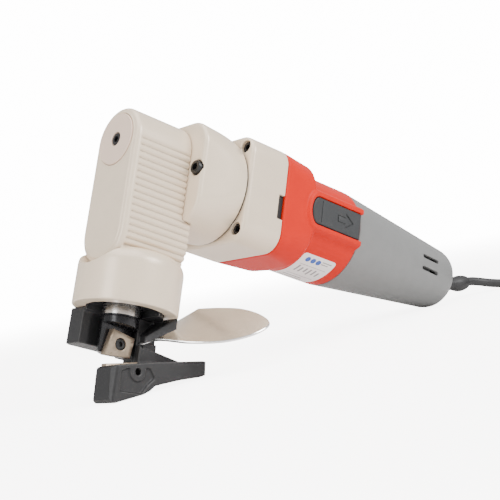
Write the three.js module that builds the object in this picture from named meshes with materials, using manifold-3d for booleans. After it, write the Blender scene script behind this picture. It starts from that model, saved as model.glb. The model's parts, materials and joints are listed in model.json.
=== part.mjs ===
// Electric sheet-metal shear with a right-angle cutting head, standing on its lower jaw and its tail.
// Millimetres. The parts are drawn in the tool's own axes: origin where the ram axis meets the body axis,
// +X forwards out of the head, +Y to the switch side, +Z up along the ram. The whole tool is then tipped
// back about Y into its resting pose and moved so that the centre of its footprint is the origin.
import * as THREE from "three";
import { mergeVertices } from "three/addons/utils/BufferGeometryUtils.js";
import Module from "manifold-3d";

const wasm = await Module();
wasm.setup();

// ---- driving dimensions ------------------------------------------------------------------------
const GAP = 0.3; // clearance between touching pieces
const TILT = THREE.MathUtils.degToRad(23.75); // body axis against the table at rest
const ROUND = 36; // facets of the large round bodies
const SMALL_ROUND = 16; // facets of shafts and screws

const HEAD_FRONT = 23.5; // front pad plane
const HEAD_REAR = -16;
const HEAD_HALF = 19.5; // half width across the ribbed sides
const HEAD_FILLET = 3.3;
const CRANK_Z = 9.7; // eccentric shaft above the body axis
const PAD_LOW_Z = -44.2; // centre of the pad's lower round end
const SHOULDER_REAR = -22.4;
const SHOULDER_TOP = -30;
const SLEEVE_R = 29.85;
const SLEEVE_TOP = -62.5; // where the sleeve begins to round off towards the head
const SLEEVE_ROUND = 9;
const SLEEVE_BOTTOM = -85.3;
const YOKE_BORE_R = 22; // bore in the sleeve that takes the yoke's spigot
const RIB_PITCH = 3.9;
const RIB_DEPTH = 0.8;
const CAP_R = 16.2;
const CAP_SEAT_R = CAP_R - 1.2;
const CAP_THICK = 1.1;
const CRANK_BORE_R = 14; // room for the crank and its front bearing

const RAM_X = 2; // ram axis in front of the sleeve axis
const RAM_R = 10.5;
const RAM_TOP = 22.6;
const RAM_STROKE = 3; // either way from the resting place
const RAM_FLAT_Y = -2; // seat of the upper blade
const RAM_SHOULDER = -95;
const RAM_BOTTOM = -110;
const BLADE_SCREW = [RAM_X - 0.8, 0, -104.2];
const CRANK_THROW = RAM_STROKE;
const PIN_R = 3;
const CRANK_BEARING_R = 5;

const NECK_REAR = -49;
const NECK_HALF = 31;
const NECK_CORNER = 19;
const NECK_SEAM_R = 32.9;
const CASE_FRONT = NECK_REAR - 0.9;
const CASE_REAR = -79.6;
const CASE_HALF = 33;
const CASE_CORNER = 12;
const SCREW_OFFSET = 25.6; // case screws from the body axis, in Y and in Z
const NECK_SCREW = [25.6, 1]; // neck screws from the body axis, in Y and in Z
const GEAR_ROOM_R = 25;
const BEARING_SEAT_R = 13.3; // front motor bearing, held between gear case and motor housing

const MOTOR_FRONT = CASE_REAR - GAP;
const COLLAR_REAR = -103;
const BARREL_R = 32.35;
const MOTOR_REAR = -147.5;
const TAIL_X = -253.9;
const TAIL_R = 22;
const TAIL_END = -266;
const TAIL_HEEL = [TAIL_X - 5, TAIL_R - 1.6]; // ring of the tail that stands on the table
const SHELL = 3; // wall of the moulded housings

const SWITCH_FRONT = -102.5;
const SWITCH_REAR = -145.5;
const SWITCH_HALF = 8.5;
const SWITCH_Z = 1.5;
const FRAME_TOP = 34.6; // top of the raised frame round the slider

const COUNTER_Z = -12; // intermediate gear shaft below the motor shaft
const BLADE_THICK = 4.4;
const PLATE_THICK = 1.5;

const CORD_R = 3.2;
const COIL_R = 36; // middle of the coil's turns
const COIL_DEEP = 3; // turns beside each other, and as many on top of each other
const PLUG_LONG = 44;
const PLUG_HALF = 8;
const TAU = Math.PI * 2;

// ---- solids ------------------------------------------------------------------------------------
function solidOf(geometry) {
  const bare = geometry.clone();
  bare.deleteAttribute("normal");
  bare.deleteAttribute("uv");
  const welded = mergeVertices(bare, 1e-4);
  const at = welded.attributes.position.array;
  const index = welded.index.array;
  const kept = [];
  let volume = 0;
  for (let i = 0; i < index.length; i += 3) {
    const [a, b, c] = [index[i], index[i + 1], index[i + 2]];
    if (a === b || b === c || a === c) continue;
    kept.push(a, b, c);
    const [p, q, r] = [a, b, c].map((k) => new THREE.Vector3().fromArray(at, 3 * k));
    volume += p.dot(q.cross(r));
  }
  if (volume < 0) kept.reverse();
  return new wasm.Manifold(
    new wasm.Mesh({
      numProp: 3,
      vertProperties: new Float32Array(at),
      triVerts: new Uint32Array(kept),
    })
  );
}

function union(...solids) {
  return solids.reduce((a, b) => a.add(b));
}

function cut(solid, ...tools) {
  return tools.reduce((a, b) => a.subtract(b), solid);
}

// The largest body of a solid: drops the slivers that a cut leaves beside it.
function largest(solid) {
  return solid.decompose().reduce((a, b) => (b.volume() > a.volume() ? b : a));
}

function box(x0, x1, y0, y1, z0, z1) {
  const g = new THREE.BoxGeometry(x1 - x0, y1 - y0, z1 - z0);
  return solidOf(g.translate((x0 + x1) / 2, (y0 + y1) / 2, (z0 + z1) / 2));
}

// Turns a shape drawn about +Y so that its axis is x, y or z; the other two axes follow in order.
const ONTO = {
  x: new THREE.Matrix4().makeBasis(
    new THREE.Vector3(0, 1, 0),
    new THREE.Vector3(1, 0, 0),
    new THREE.Vector3(0, 0, -1)
  ),
  y: new THREE.Matrix4(),
  z: new THREE.Matrix4().makeBasis(
    new THREE.Vector3(1, 0, 0),
    new THREE.Vector3(0, 0, 1),
    new THREE.Vector3(0, -1, 0)
  ),
};

// Solid of revolution: profile holds [distance along the axis, radius], centre is a point of the axis.
function revolve(axis, centre, profile, facets = ROUND) {
  const points = profile.map(([along, radius]) => new THREE.Vector2(Math.max(radius, 0), along));
  const g = new THREE.LatheGeometry(points, facets);
  return solidOf(g.applyMatrix4(ONTO[axis]).translate(...centre));
}

function rod(axis, centre, from, to, radius, facets = SMALL_ROUND) {
  return revolve(axis, centre, [[from, 0], [from, radius], [to, radius], [to, 0]], facets);
}

function ring(axis, centre, from, to, radius, bore, facets = ROUND) {
  const outline = [[from, bore], [from, radius], [to, radius], [to, bore], [from, bore]];
  return revolve(axis, centre, outline, facets);
}

// Closed skin through a row of outlines with equal point counts, capped at both ends.
function loft(outlines) {
  const count = outlines[0].length;
  const points = outlines.flat();
  const index = [];
  for (let s = 0; s + 1 < outlines.length; s++) {
    for (let i = 0; i < count; i++) {
      const j = (i + 1) % count;
      const [a, b, c, d] = [s * count + i, s * count + j, (s + 1) * count + i, (s + 1) * count + j];
      index.push(a, b, d, a, d, c);
    }
  }
  const last = (outlines.length - 1) * count;
  for (let i = 1; i + 1 < count; i++) {
    index.push(0, i + 1, i);
    index.push(last, last + i, last + i + 1);
  }
  const g = new THREE.BufferGeometry();
  g.setAttribute("position", new THREE.Float32BufferAttribute(points.flat(), 3));
  g.setIndex(index);
  return solidOf(g);
}

// Prism of an outline: axis x takes [y, z], axis y takes [x, z] and axis z takes [x, y].
function prism(axis, outline, from, to) {
  const place = {
    x: ([u, v], a) => [a, u, v],
    y: ([u, v], a) => [u, a, v],
    z: ([u, v], a) => [u, v, a],
  }[axis];
  return loft([outline.map((p) => place(p, from)), outline.map((p) => place(p, to))]);
}

function arc(cx, cy, radius, from, to, steps) {
  const points = [];
  for (let i = 0; i <= steps; i++) {
    const a = from + ((to - from) * i) / steps;
    points.push([cx + radius * Math.cos(a), cy + radius * Math.sin(a)]);
  }
  return points;
}

function roundedSquare(half, corner, steps = 5) {
  const k = half - corner;
  const quarter = Math.PI / 2;
  return [0, 1, 2, 3].flatMap((n) => {
    const cx = n === 0 || n === 3 ? k : -k;
    const cy = n < 2 ? k : -k;
    return arc(cx, cy, corner, n * quarter, (n + 1) * quarter, steps);
  });
}

function stadium(half, highZ, lowZ, steps = 9) {
  return [...arc(0, highZ, half, 0, Math.PI, steps), ...arc(0, lowZ, half, Math.PI, TAU, steps)];
}

// Outline in X and Z with a flattened round front end and a straight rear end.
function pill(front, half, rear) {
  const bulge = half * 0.62;
  const nose = arc(0, 0, 1, -Math.PI / 2, Math.PI / 2, 8);
  const round = nose.map(([u, v]) => [front - bulge + u * bulge, SWITCH_Z + v * half]);
  return [[rear, SWITCH_Z - half], ...round, [rear, SWITCH_Z + half]];
}

const atX = (outline, x) => outline.map(([y, z]) => [x, y, z]);

// ---- materials ---------------------------------------------------------------------------------
function finish(color, roughness, metalness = 0) {
  return () => new THREE.MeshStandardMaterial({ color, roughness, metalness });
}

const castPaint = finish(0xd9d3c8, 0.45, 0.2);
const orangePlastic = finish(0xd8452b, 0.4);
const greyPlastic = finish(0x85878a, 0.5);
const slatePlastic = finish(0x3d4348, 0.55);
const blackSteel = finish(0x1c1c1e, 0.4, 0.8);
const castBlack = finish(0x3a3a3c, 0.6, 0.5);
const brightSteel = finish(0xc4c6c8, 0.2, 1);
const bladeSteel = finish(0xa89a84, 0.4, 0.9);
const copper = finish(0xb06a3a, 0.35, 0.9);
const brass = finish(0x8a6a35, 0.4, 0.9);
const blackRubber = finish(0x222326, 0.8);
const carbon = finish(0x2a2a2c, 0.7, 0.3);

const tool = new THREE.Group();

function addNode(parent, name, solid, material) {
  const mesh = solid.getMesh();
  const g = new THREE.BufferGeometry();
  g.setAttribute("position", new THREE.BufferAttribute(new Float32Array(mesh.vertProperties), 3));
  g.setIndex(new THREE.BufferAttribute(new Uint32Array(mesh.triVerts), 1));
  g.computeVertexNormals();
  const node = new THREE.Mesh(g, material());
  node.name = name;
  parent.add(node);
}

const add = (name, solid, material) => addNode(tool, name, solid, material);

// Socket-head cap screw along +X or another axis: the head ends at headEnd, the shank points back.
function capScrew(axis, centre, headEnd, headR, headLong, shankR, shankLong, facets = 12) {
  const back = headEnd - headLong;
  const body = union(
    rod(axis, centre, back, headEnd, headR, facets),
    rod(axis, centre, back - shankLong, back + 0.5, shankR, facets)
  );
  return cut(body, rod(axis, centre, headEnd - headLong * 0.6, headEnd + 1, headR * 0.5, 6));
}

// ---- head --------------------------------------------------------------------------------------
const AXIS = [0, 0, 0];
const CRANK = [0, 0, CRANK_Z];
const COUNTER = [0, 0, COUNTER_Z];
const RAM = [RAM_X, 0, 0];

function headOutside() {
  const flank = stadium(HEAD_HALF, CRANK_Z, PAD_LOW_Z);
  const pad = stadium(CAP_R, CRANK_Z, PAD_LOW_Z);
  const mid = stadium(HEAD_HALF - HEAD_FILLET * 0.3, CRANK_Z, PAD_LOW_Z);
  const block = loft([
    atX(flank, HEAD_REAR),
    atX(flank, HEAD_FRONT - HEAD_FILLET),
    atX(mid, HEAD_FRONT - HEAD_FILLET * 0.3),
    atX(pad, HEAD_FRONT),
  ]);
  const sleeve = revolve("z", [0, 0, 0], [
    [SLEEVE_BOTTOM, 0],
    [SLEEVE_BOTTOM, SLEEVE_R - 0.8],
    [SLEEVE_BOTTOM + 0.8, SLEEVE_R],
    [SLEEVE_TOP, SLEEVE_R],
    [SLEEVE_TOP + SLEEVE_ROUND * 0.5, SLEEVE_R - SLEEVE_ROUND * 0.134],
    [SLEEVE_TOP + SLEEVE_ROUND * 0.866, SLEEVE_R - SLEEVE_ROUND * 0.5],
    [SLEEVE_TOP + SLEEVE_ROUND, SLEEVE_R - SLEEVE_ROUND],
    [SLEEVE_TOP + SLEEVE_ROUND, 0],
  ]);
  const around = stadium(HEAD_HALF + 1, CRANK_Z, PAD_LOW_Z);
  const frontRecess = loft([atX(around, HEAD_FRONT - HEAD_FILLET), atX(around, SLEEVE_R + 1)]);
  const shoulder = box(SHOULDER_REAR, HEAD_REAR + 1, -HEAD_HALF, HEAD_HALF, SLEEVE_TOP - 2, SHOULDER_TOP);
  return union(block, cut(sleeve, frontRecess), shoulder);
}

function ribGrooves() {
  const grooves = [];
  const count = Math.floor((CRANK_Z - PAD_LOW_Z) / RIB_PITCH);
  for (let i = 0; i <= count; i++) {
    const z = CRANK_Z - 2 - i * RIB_PITCH;
    for (const side of [-1, 1]) {
      const outer = side * (HEAD_HALF + 1);
      const tip = side * (HEAD_HALF - RIB_DEPTH);
      const outline = [[outer, z - 1.1], [outer, z + 1.1], [tip, z]];
      const rear = z < SHOULDER_TOP ? SHOULDER_REAR + 1 : HEAD_REAR + 1.5;
      grooves.push(prism("x", outline, rear, HEAD_FRONT - HEAD_FILLET + 0.4));
    }
  }
  return grooves;
}

function addHead() {
  const crankRoom = rod("x", CRANK, HEAD_REAR - 8, HEAD_FRONT - 5, CRANK_BORE_R, 24);
  const ramRoom = rod("z", RAM, SLEEVE_BOTTOM - 1, RAM_TOP + RAM_STROKE + GAP, RAM_R + 0.4, 24);
  const yokeRoom = rod("z", [0, 0, 0], SLEEVE_BOTTOM - 1, SLEEVE_BOTTOM + 14, YOKE_BORE_R, ROUND);
  const capRecess = rod("x", CRANK, HEAD_FRONT - 1, HEAD_FRONT + 1, CAP_SEAT_R, 24);
  const capHole = rod("x", CRANK, HEAD_FRONT - 8, HEAD_FRONT + 1, 1.8);
  const trims = ribGrooves();
  const head = cut(headOutside(), crankRoom, ramRoom, yokeRoom, capRecess, capHole, ...trims);
  add("head_housing", head, castPaint);

  const cap = cut(
    rod("x", CRANK, HEAD_FRONT - 1 + GAP, HEAD_FRONT + CAP_THICK, CAP_SEAT_R - GAP, 24),
    rod("x", CRANK, HEAD_FRONT - 2, HEAD_FRONT + CAP_THICK + 1, 4.1)
  );
  add("front_cap", cap, castPaint);
  add("front_cap_screw", capScrew("x", CRANK, HEAD_FRONT + 0.7, 3.7, 1.6, 1.5, 4), blackSteel);
}

// ---- ram and blades ----------------------------------------------------------------------------
function addRam() {
  const shaft = rod("z", RAM, RAM_SHOULDER - 3, RAM_TOP, RAM_R, 24);
  const foot = rod("z", RAM, RAM_BOTTOM, RAM_SHOULDER, RAM_R, 24);
  const window = CRANK_BEARING_R + CRANK_THROW + RAM_STROKE + GAP;
  const slot = box(-20, RAM_X + 6.4, -20, 20, CRANK_Z - window, CRANK_Z + window);
  const seat = prism("y", [[-30, -97.5], [30, -92], [30, -130], [-30, -130]], RAM_FLAT_Y, 20);
  const tapped = rod("y", BLADE_SCREW, -8, 5, 1.9);
  add("ram", cut(union(shaft, foot), slot, seat, tapped), blackSteel);

  const tile = prism(
    "y",
    [[7.2, -96.6], [10.6, -111.8], [-6.3, -110.6], [-7.6, -99.3]],
    RAM_FLAT_Y + GAP,
    RAM_FLAT_Y + BLADE_THICK
  );
  const screwSeat = rod("y", BLADE_SCREW, RAM_FLAT_Y + 2, 10, 3.4);
  const screwHole = rod("y", BLADE_SCREW, RAM_FLAT_Y - 1, 10, 2.1);
  add("upper_blade", cut(tile, screwSeat, screwHole), bladeSteel);
  const front = RAM_FLAT_Y + BLADE_THICK - 0.2;
  add("upper_blade_screw", capScrew("y", BLADE_SCREW, front, 3, 1.9, 1.6, 5), blackSteel);
}

// ---- deflector plate ---------------------------------------------------------------------------
const PLATE_ROOT = new THREE.Vector3(-10.5, 4, -101.4); // front end of the straight edge
const PLATE_RISE = THREE.MathUtils.degToRad(37.3); // of the straight edge, rearwards
const PLATE_ROLL = THREE.MathUtils.degToRad(20); // down towards the switch side

// Leaf with one straight edge; u runs along that edge and v across it.
const LEAF = [[0, -1], [9, 5], [16, 23], [27, 39], [42, 48], [55, 48], [61, 37], [61, 22], [55, 9], [48, -1]];

// Slab under an outline given in u and v, from one height to another above the plate's upper face.
function platePiece(outline, top, bottom) {
  const along = new THREE.Vector3(-Math.cos(PLATE_RISE), 0, Math.sin(PLATE_RISE));
  const up = new THREE.Vector3(Math.sin(PLATE_RISE), 0, Math.cos(PLATE_RISE));
  const across = new THREE.Vector3(0, Math.cos(PLATE_ROLL), 0).addScaledVector(up, -Math.sin(PLATE_ROLL));
  const normal = new THREE.Vector3().crossVectors(across, along);
  if (normal.z < 0) normal.negate();
  const place = ([u, v], lift) =>
    PLATE_ROOT.clone()
      .addScaledVector(along, u)
      .addScaledVector(across, v)
      .addScaledVector(normal, lift)
      .toArray();
  return loft([outline.map((p) => place(p, top)), outline.map((p) => place(p, bottom))]);
}

function leafOutline() {
  const corners = LEAF.map(([u, v]) => new THREE.Vector3(u, v, 0));
  const edge = new THREE.CatmullRomCurve3(corners, false, "centripetal").getPoints(26);
  return edge.map((p) => [p.x, p.y]);
}

// ---- yoke and lower jaw ------------------------------------------------------------------------
const BLADE_PLANE = RAM_FLAT_Y + BLADE_THICK + GAP; // cutting plane side of the lower blade
const JAW_NEAR = 19.5;
const JAW_SCREW = [-1.2, 0, -119.8];
const STRIP_THICK = 4.6; // lower blade
const FLOOR = TAIL_HEEL[0] * Math.sin(TILT) - TAIL_HEEL[1] * Math.cos(TILT); // table, in tipped axes

// Z of the table below the point x of the untipped axes.
const floorZ = (x) => (FLOOR - x * Math.sin(TILT)) / Math.cos(TILT);

function jawBlock() {
  const side = [
    [15, -120],
    [13.6, floorZ(12)],
    [9.5, floorZ(9.5)],
    [-7, floorZ(-7)],
    [-11, -128.4],
    [-14, -123.6],
    [-20, -120.8],
    [-44, -113.9],
    [-47.5, -112],
    [-46.4, -105],
    [-44.5, -105],
    [-9.5, -113],
    [10, -118],
  ];
  const block = prism("y", side, BLADE_PLANE, JAW_NEAR);
  const noseTrim = prism("z", [[12, JAW_NEAR + 2], [17, JAW_NEAR - 4], [20, JAW_NEAR + 2]], -140, -100);
  const tailTrim = prism("z", [[-60, 12], [-60, 0], [-13, 0], [-13, BLADE_PLANE + 0.5]], -140, -90);
  return cut(block, noseTrim, tailTrim);
}

function addYoke() {
  const spigot = rod("z", [0, 0, 0], SLEEVE_BOTTOM - 2.2, SLEEVE_BOTTOM + 11, YOKE_BORE_R - GAP, ROUND);
  const cheek = prism(
    "z",
    [[19, -25], [19, -12.5], [10, -10], [-20, -10], [-20, -20], [-12, -27], [16, -27]],
    -106,
    SLEEVE_BOTTOM - GAP
  );
  const rearColumn = box(-22, -9, -17, 2, -109, SLEEVE_BOTTOM - 1);
  const web = prism(
    "y",
    [[-9, -103], [-9, -118], [-15, -122], [-42, -114], [-43, -107]],
    -0.5,
    BLADE_PLANE + 4
  );
  const strut = loft([
    [[-11, -6, -101.3], [-11, 7, -102], [-11, 7, -97.5], [-11, -6, -96.5]],
    [[-21, 6, -92], [-21, 22, -92.5], [-21, 22, SLEEVE_BOTTOM - GAP], [-21, 6, SLEEVE_BOTTOM - GAP]],
  ]);
  const heel = prism(
    "y",
    [[-4, -117.5], [-4, floorZ(-4)], [-20, floorZ(-20)], [-24, -127], [-24, -118], [-9.5, -116.5]],
    -14,
    BLADE_PLANE + 1
  );
  const heelColumn = box(-22, -13, -14, 4, -126, -100);
  const ramRoom = rod("z", RAM, -121, -70, RAM_R + 0.6, 24);
  const ramLane = box(-9.3, 40, RAM_FLAT_Y - 9.2, BLADE_PLANE - GAP, -119, SLEEVE_BOTTOM - 3);
  const bladeSeat = prism(
    "y",
    [[12.5, -110], [12.5, -126.8], [-9, -121.8], [-9, -110]],
    BLADE_PLANE - 1,
    BLADE_PLANE + STRIP_THICK + GAP
  );
  const screwHole = rod("y", JAW_SCREW, -20, 40, 1.9, 12);
  const solid = union(spigot, cheek, rearColumn, web, strut, heel, heelColumn, jawBlock());
  const underTable = prism(
    "y",
    [[60, floorZ(60)], [-90, floorZ(-90)], [-90, -200], [60, -200]],
    -60,
    60
  );
  const plateRoom = [[-2, -1.6], [70, -1.6], [70, 60], [-2, 60]];
  const plateSeat = platePiece(plateRoom, GAP, -PLATE_THICK - GAP);
  const tools = [ramRoom, ramLane, bladeSeat, screwHole, underTable, plateSeat];
  add("yoke", largest(cut(solid, ...tools)), castBlack);
  add("deflector_plate", platePiece(leafOutline(), 0, -PLATE_THICK), brightSteel);

  const blade = prism(
    "y",
    [[12, -117.3], [12, -126.2], [-8.5, -121.4], [-8.5, -112.6]],
    BLADE_PLANE,
    BLADE_PLANE + STRIP_THICK
  );
  add("lower_blade", cut(blade, rod("y", JAW_SCREW, -20, 40, 2.1, 12)), bladeSteel);
  add("lower_blade_screw", rod("y", JAW_SCREW, BLADE_PLANE + 0.5, JAW_NEAR - 3, 1.6, 12), blackSteel);
}

// ---- neck and gear case ------------------------------------------------------------------------
function addNeck() {
  const steps = 8;
  const front = roundedSquare(NECK_HALF, NECK_CORNER, steps);
  const shell = loft([
    atX(roundedSquare(NECK_HALF - 1.5, NECK_CORNER - 1.5, steps), HEAD_REAR - GAP),
    atX(front, HEAD_REAR - 1.8),
    atX(front, -30),
    atX(roundedSquare(NECK_SEAM_R, NECK_SEAM_R - 1, steps), NECK_REAR),
  ]);
  const wide = HEAD_HALF + GAP;
  const shoulderRoom = box(SHOULDER_REAR - GAP, HEAD_REAR + 1, -wide, wide, -60, SHOULDER_TOP + GAP);
  const inside = rod("x", AXIS, -40, NECK_REAR - 1, GEAR_ROOM_R, 24);
  const bearingSeat = rod("x", CRANK, HEAD_REAR + 1, -41, CRANK_BORE_R, 24);
  const screwAt = (side) => [0, side * NECK_SCREW[0], NECK_SCREW[1]];
  const screwRooms = [-1, 1].map((s) => rod("x", screwAt(s), HEAD_REAR - 4, HEAD_REAR + 1, 4.4, 12));
  const shankRooms = [-1, 1].map((s) => rod("x", screwAt(s), -32, HEAD_REAR, 2.4, 12));
  add("neck_housing", cut(shell, shoulderRoom, inside, bearingSeat, ...screwRooms, ...shankRooms), castPaint);

  for (const [side, word] of [[1, "near"], [-1, "far"]]) {
    const screw = capScrew("x", screwAt(side), HEAD_REAR + 1.2, 4, 4.6, 2, 10);
    add(`neck_screw_${word}`, screw, blackSteel);
  }

  const [low, high] = [CASE_FRONT + GAP / 2, NECK_REAR - GAP / 2];
  const gasket = ring("x", AXIS, low, high, NECK_SEAM_R - GAP, GEAR_ROOM_R + 0.5);
  add("neck_gasket", gasket, blackRubber);
}

const SCREW_SPOTS = [[1, 1, "near_top"], [1, -1, "near_low"], [-1, 1, "far_top"], [-1, -1, "far_low"]];
const SHANK_ROOM_R = 2.5;
const spotCentre = ([sideY, sideZ]) => [0, sideY * SCREW_OFFSET, sideZ * SCREW_OFFSET];

function addGearCase() {
  const steps = 5;
  const outline = roundedSquare(CASE_HALF, CASE_CORNER, steps);
  const shell = loft([
    atX(roundedSquare(CASE_HALF - 2.5, CASE_CORNER - 2.5, steps), CASE_FRONT - GAP),
    atX(outline, CASE_FRONT - 3),
    atX(outline, CASE_REAR),
  ]);
  const room = rod("x", AXIS, CASE_FRONT + 1, -76, GEAR_ROOM_R, 24);
  const motorBore = rod("x", AXIS, -74, CASE_REAR - 1, BEARING_SEAT_R, 24);
  const shaftHole = rod("x", AXIS, -79, -70, 6, SMALL_ROUND);
  const counterSeat = rod("x", COUNTER, -79, -74, 5.4, SMALL_ROUND);
  const crankSeat = rod("x", CRANK, -79, -74, 8.4, SMALL_ROUND);
  const rodAt = (spot, from, to, radius) => rod("x", spotCentre(spot), from, to, radius, 12);
  const atSpots = (...size) => SCREW_SPOTS.map((spot) => rodAt(spot, ...size));
  const pockets = atSpots(CASE_FRONT - 6.2, CASE_FRONT + 1, 3.9);
  const shanks = atSpots(CASE_REAR - 1, CASE_FRONT, SHANK_ROOM_R);
  const slot = box(CASE_REAR - 1, CASE_REAR + 4.6, CASE_HALF - 2, CASE_HALF + 1, -13, 2);
  const wheelRoom = rod("x", CRANK, -63.5, CASE_FRONT + 1, 17.8, 24);
  const tools = [room, wheelRoom, motorBore, shaftHole, counterSeat, crankSeat, slot, ...pockets, ...shanks];
  add("gear_case", cut(shell, ...tools), castPaint);
  for (const spot of SCREW_SPOTS) {
    const screw = capScrew("x", spotCentre(spot), CASE_FRONT - 1.6, 3.5, 4, 2.1, 28);
    add(`case_screw_${spot[2]}`, screw, blackSteel);
  }
}

// ---- gear train --------------------------------------------------------------------------------
// Spur gear with thin trapezoid teeth that leave free backlash.
function gear(centre, teeth, module, from, to, bore, phase = 0) {
  const pitchR = (teeth * module) / 2;
  const [tip, root] = [pitchR + module * 0.7, pitchR - module * 1.1];
  const step = TAU / teeth;
  const outline = [];
  for (let i = 0; i < teeth; i++) {
    const a = phase + i * step;
    for (const [turn, radius] of [[-0.3, root], [-0.11, tip], [0.11, tip], [0.3, root]]) {
      outline.push([
        centre[1] + radius * Math.cos(a + turn * step),
        centre[2] + radius * Math.sin(a + turn * step),
      ]);
    }
  }
  const teethSolid = loft([atX(outline, from), atX(outline, to)]);
  return cut(teethSolid, rod("x", [0, centre[1], centre[2]], from - 1, to + 1, bore, SMALL_ROUND));
}

const FIRST = { module: 0.8, pinion: 9, wheel: 21, from: -72, to: -64 };
const SECOND = { module: 1, pinion: 11, wheel: 32, from: -62, to: -54 };
const TIP_R = 1.6; // front end of the motor shaft, inside the pinion

function addGears() {
  const half = Math.PI / 2;
  const pinion = gear(AXIS, FIRST.pinion, FIRST.module, FIRST.from, FIRST.to, TIP_R + GAP, -half);
  add("motor_pinion", pinion, brightSteel);
  const wheelPhase = half + Math.PI / FIRST.wheel;
  const wheel = gear(COUNTER, FIRST.wheel, FIRST.module, FIRST.from + 0.5, FIRST.to - 0.5, 3.3, wheelPhase);
  add("intermediate_gear", wheel, brightSteel);
  const pinionTeeth = gear(COUNTER, SECOND.pinion, SECOND.module, SECOND.from, SECOND.to, 1, half);
  const shaft = union(
    rod("x", COUNTER, -78, -50.5, 3),
    pinionTeeth,
    rod("x", COUNTER, SECOND.from - 0.2, SECOND.to + 0.2, 2)
  );
  add("intermediate_shaft", shaft, brightSteel);
  const outPhase = -half + Math.PI / SECOND.wheel;
  add(
    "output_gear",
    gear(CRANK, SECOND.wheel, SECOND.module, SECOND.from + 0.5, SECOND.to - 0.5, 6.3, outPhase),
    brightSteel
  );
}

// ---- eccentric shaft ---------------------------------------------------------------------------
function addCrank() {
  const pinCentre = [0, CRANK_THROW, CRANK_Z];
  const shaft = union(
    rod("x", CRANK, -78.5, -62.6, 4.4, SMALL_ROUND),
    rod("x", CRANK, -62.8, -13.5, 6, SMALL_ROUND),
    rod("x", CRANK, -13.8, -9.2, 8.5, SMALL_ROUND),
    rod("x", pinCentre, -9.4, 6, PIN_R, SMALL_ROUND)
  );
  add("eccentric_shaft", shaft, brightSteel);
  const pinBearing = ring("x", pinCentre, -8.6, 5, CRANK_BEARING_R, PIN_R + GAP, 20);
  add("eccentric_bearing", pinBearing, brightSteel);
  add("crank_front_bearing", ring("x", CRANK, -31, -21, 13.6, 6.3, 20), brightSteel);
}

// ---- motor -------------------------------------------------------------------------------------
const SHAFT_R = 4;
const SHAFT_ROOM_R = SHAFT_R + GAP;
const SHAFT_SPAN = [-232, -73];
const TIP_SPAN = [-73.2, -62.5];
const FRONT_BEARING = { span: [-92, -84.6], radius: 13 };
const CORE = { span: [-186, -146], radius: 13 };
const COMMUTATOR = { span: [-212, -197], radius: 9 };
const REAR_BEARING = { span: [-231, -224], radius: 9 };
const FAN = { disc: [-122, -120], hubEnd: -108, bladeEnd: -110, radius: 22, hubR: 7, count: 9 };
const STATOR = { span: [-188, -144], radius: 24.5, bore: 13.8, slotHalf: 9, slotTop: 19.5 };
const COIL = { span: [-193, -139], half: 8.6, low: 15, high: 19.1 };
const BRUSH = { span: [-207.7, -201.3], from: 9.3, long: 9.2, half: 2.3 };
const BRUSH_HOLDER = { centre: [-204.5, 0, 0], from: 11, to: 20, radius: 5.5 };

const onShaft = ({ span, radius }, facets) => ring("x", AXIS, ...span, radius, SHAFT_ROOM_R, facets);

function addMotor() {
  const spindle = union(
    rod("x", AXIS, ...SHAFT_SPAN, SHAFT_R, SMALL_ROUND),
    rod("x", AXIS, ...TIP_SPAN, TIP_R, SMALL_ROUND)
  );
  add("armature_shaft", spindle, brightSteel);
  add("front_motor_bearing", onShaft(FRONT_BEARING, 20), brightSteel);
  add("cooling_fan", fanSolid(), slatePlastic);
  add("armature_core", onShaft(CORE, 24), carbon);
  add("commutator", onShaft(COMMUTATOR, 20), copper);
  add("rear_motor_bearing", onShaft(REAR_BEARING, 20), brightSteel);

  const [rear, front] = STATOR.span;
  const stator = cut(
    rod("x", AXIS, rear, front, STATOR.radius, 28),
    rod("x", AXIS, rear - 2, front + 2, STATOR.bore, 24),
    box(rear - 2, front + 2, -STATOR.slotHalf, STATOR.slotHalf, -STATOR.slotTop, STATOR.slotTop)
  );
  add("stator_core", stator, carbon);
  add("field_coil_top", box(...COIL.span, -COIL.half, COIL.half, COIL.low, COIL.high), copper);
  add("field_coil_low", box(...COIL.span, -COIL.half, COIL.half, -COIL.high, -COIL.low), copper);
  for (const [side, word] of [[1, "near"], [-1, "far"]]) {
    const reach = (a, b) => [side * a, side * b].sort((p, q) => p - q);
    const room = BRUSH.half + GAP;
    const { centre, from, to, radius } = BRUSH_HOLDER;
    const holder = cut(
      rod("y", centre, ...reach(from, to), radius, SMALL_ROUND),
      box(BRUSH.span[0] - GAP, BRUSH.span[1] + GAP, -30, 30, -room, room)
    );
    add(`brush_holder_${word}`, holder, brass);
    const brush = box(...BRUSH.span, ...reach(BRUSH.from, BRUSH.from + BRUSH.long), -BRUSH.half, BRUSH.half);
    add(`carbon_brush_${word}`, brush, carbon);
  }
}

function fanSolid() {
  const disc = rod("x", AXIS, ...FAN.disc, FAN.radius, 24);
  const hub = rod("x", AXIS, FAN.disc[0], FAN.hubEnd, FAN.hubR, 20);
  const blade = box(FAN.disc[1] - 0.5, FAN.bladeEnd, FAN.hubR - 1, FAN.radius - 0.5, -0.8, 0.8);
  const blades = [];
  for (let i = 0; i < FAN.count; i++) blades.push(blade.rotate([(i * 360) / FAN.count, 0, 0]));
  const bore = rod("x", AXIS, FAN.disc[0] - 5, FAN.hubEnd + 5, SHAFT_ROOM_R, SMALL_ROUND);
  return cut(union(disc, hub, ...blades), bore);
}

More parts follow.
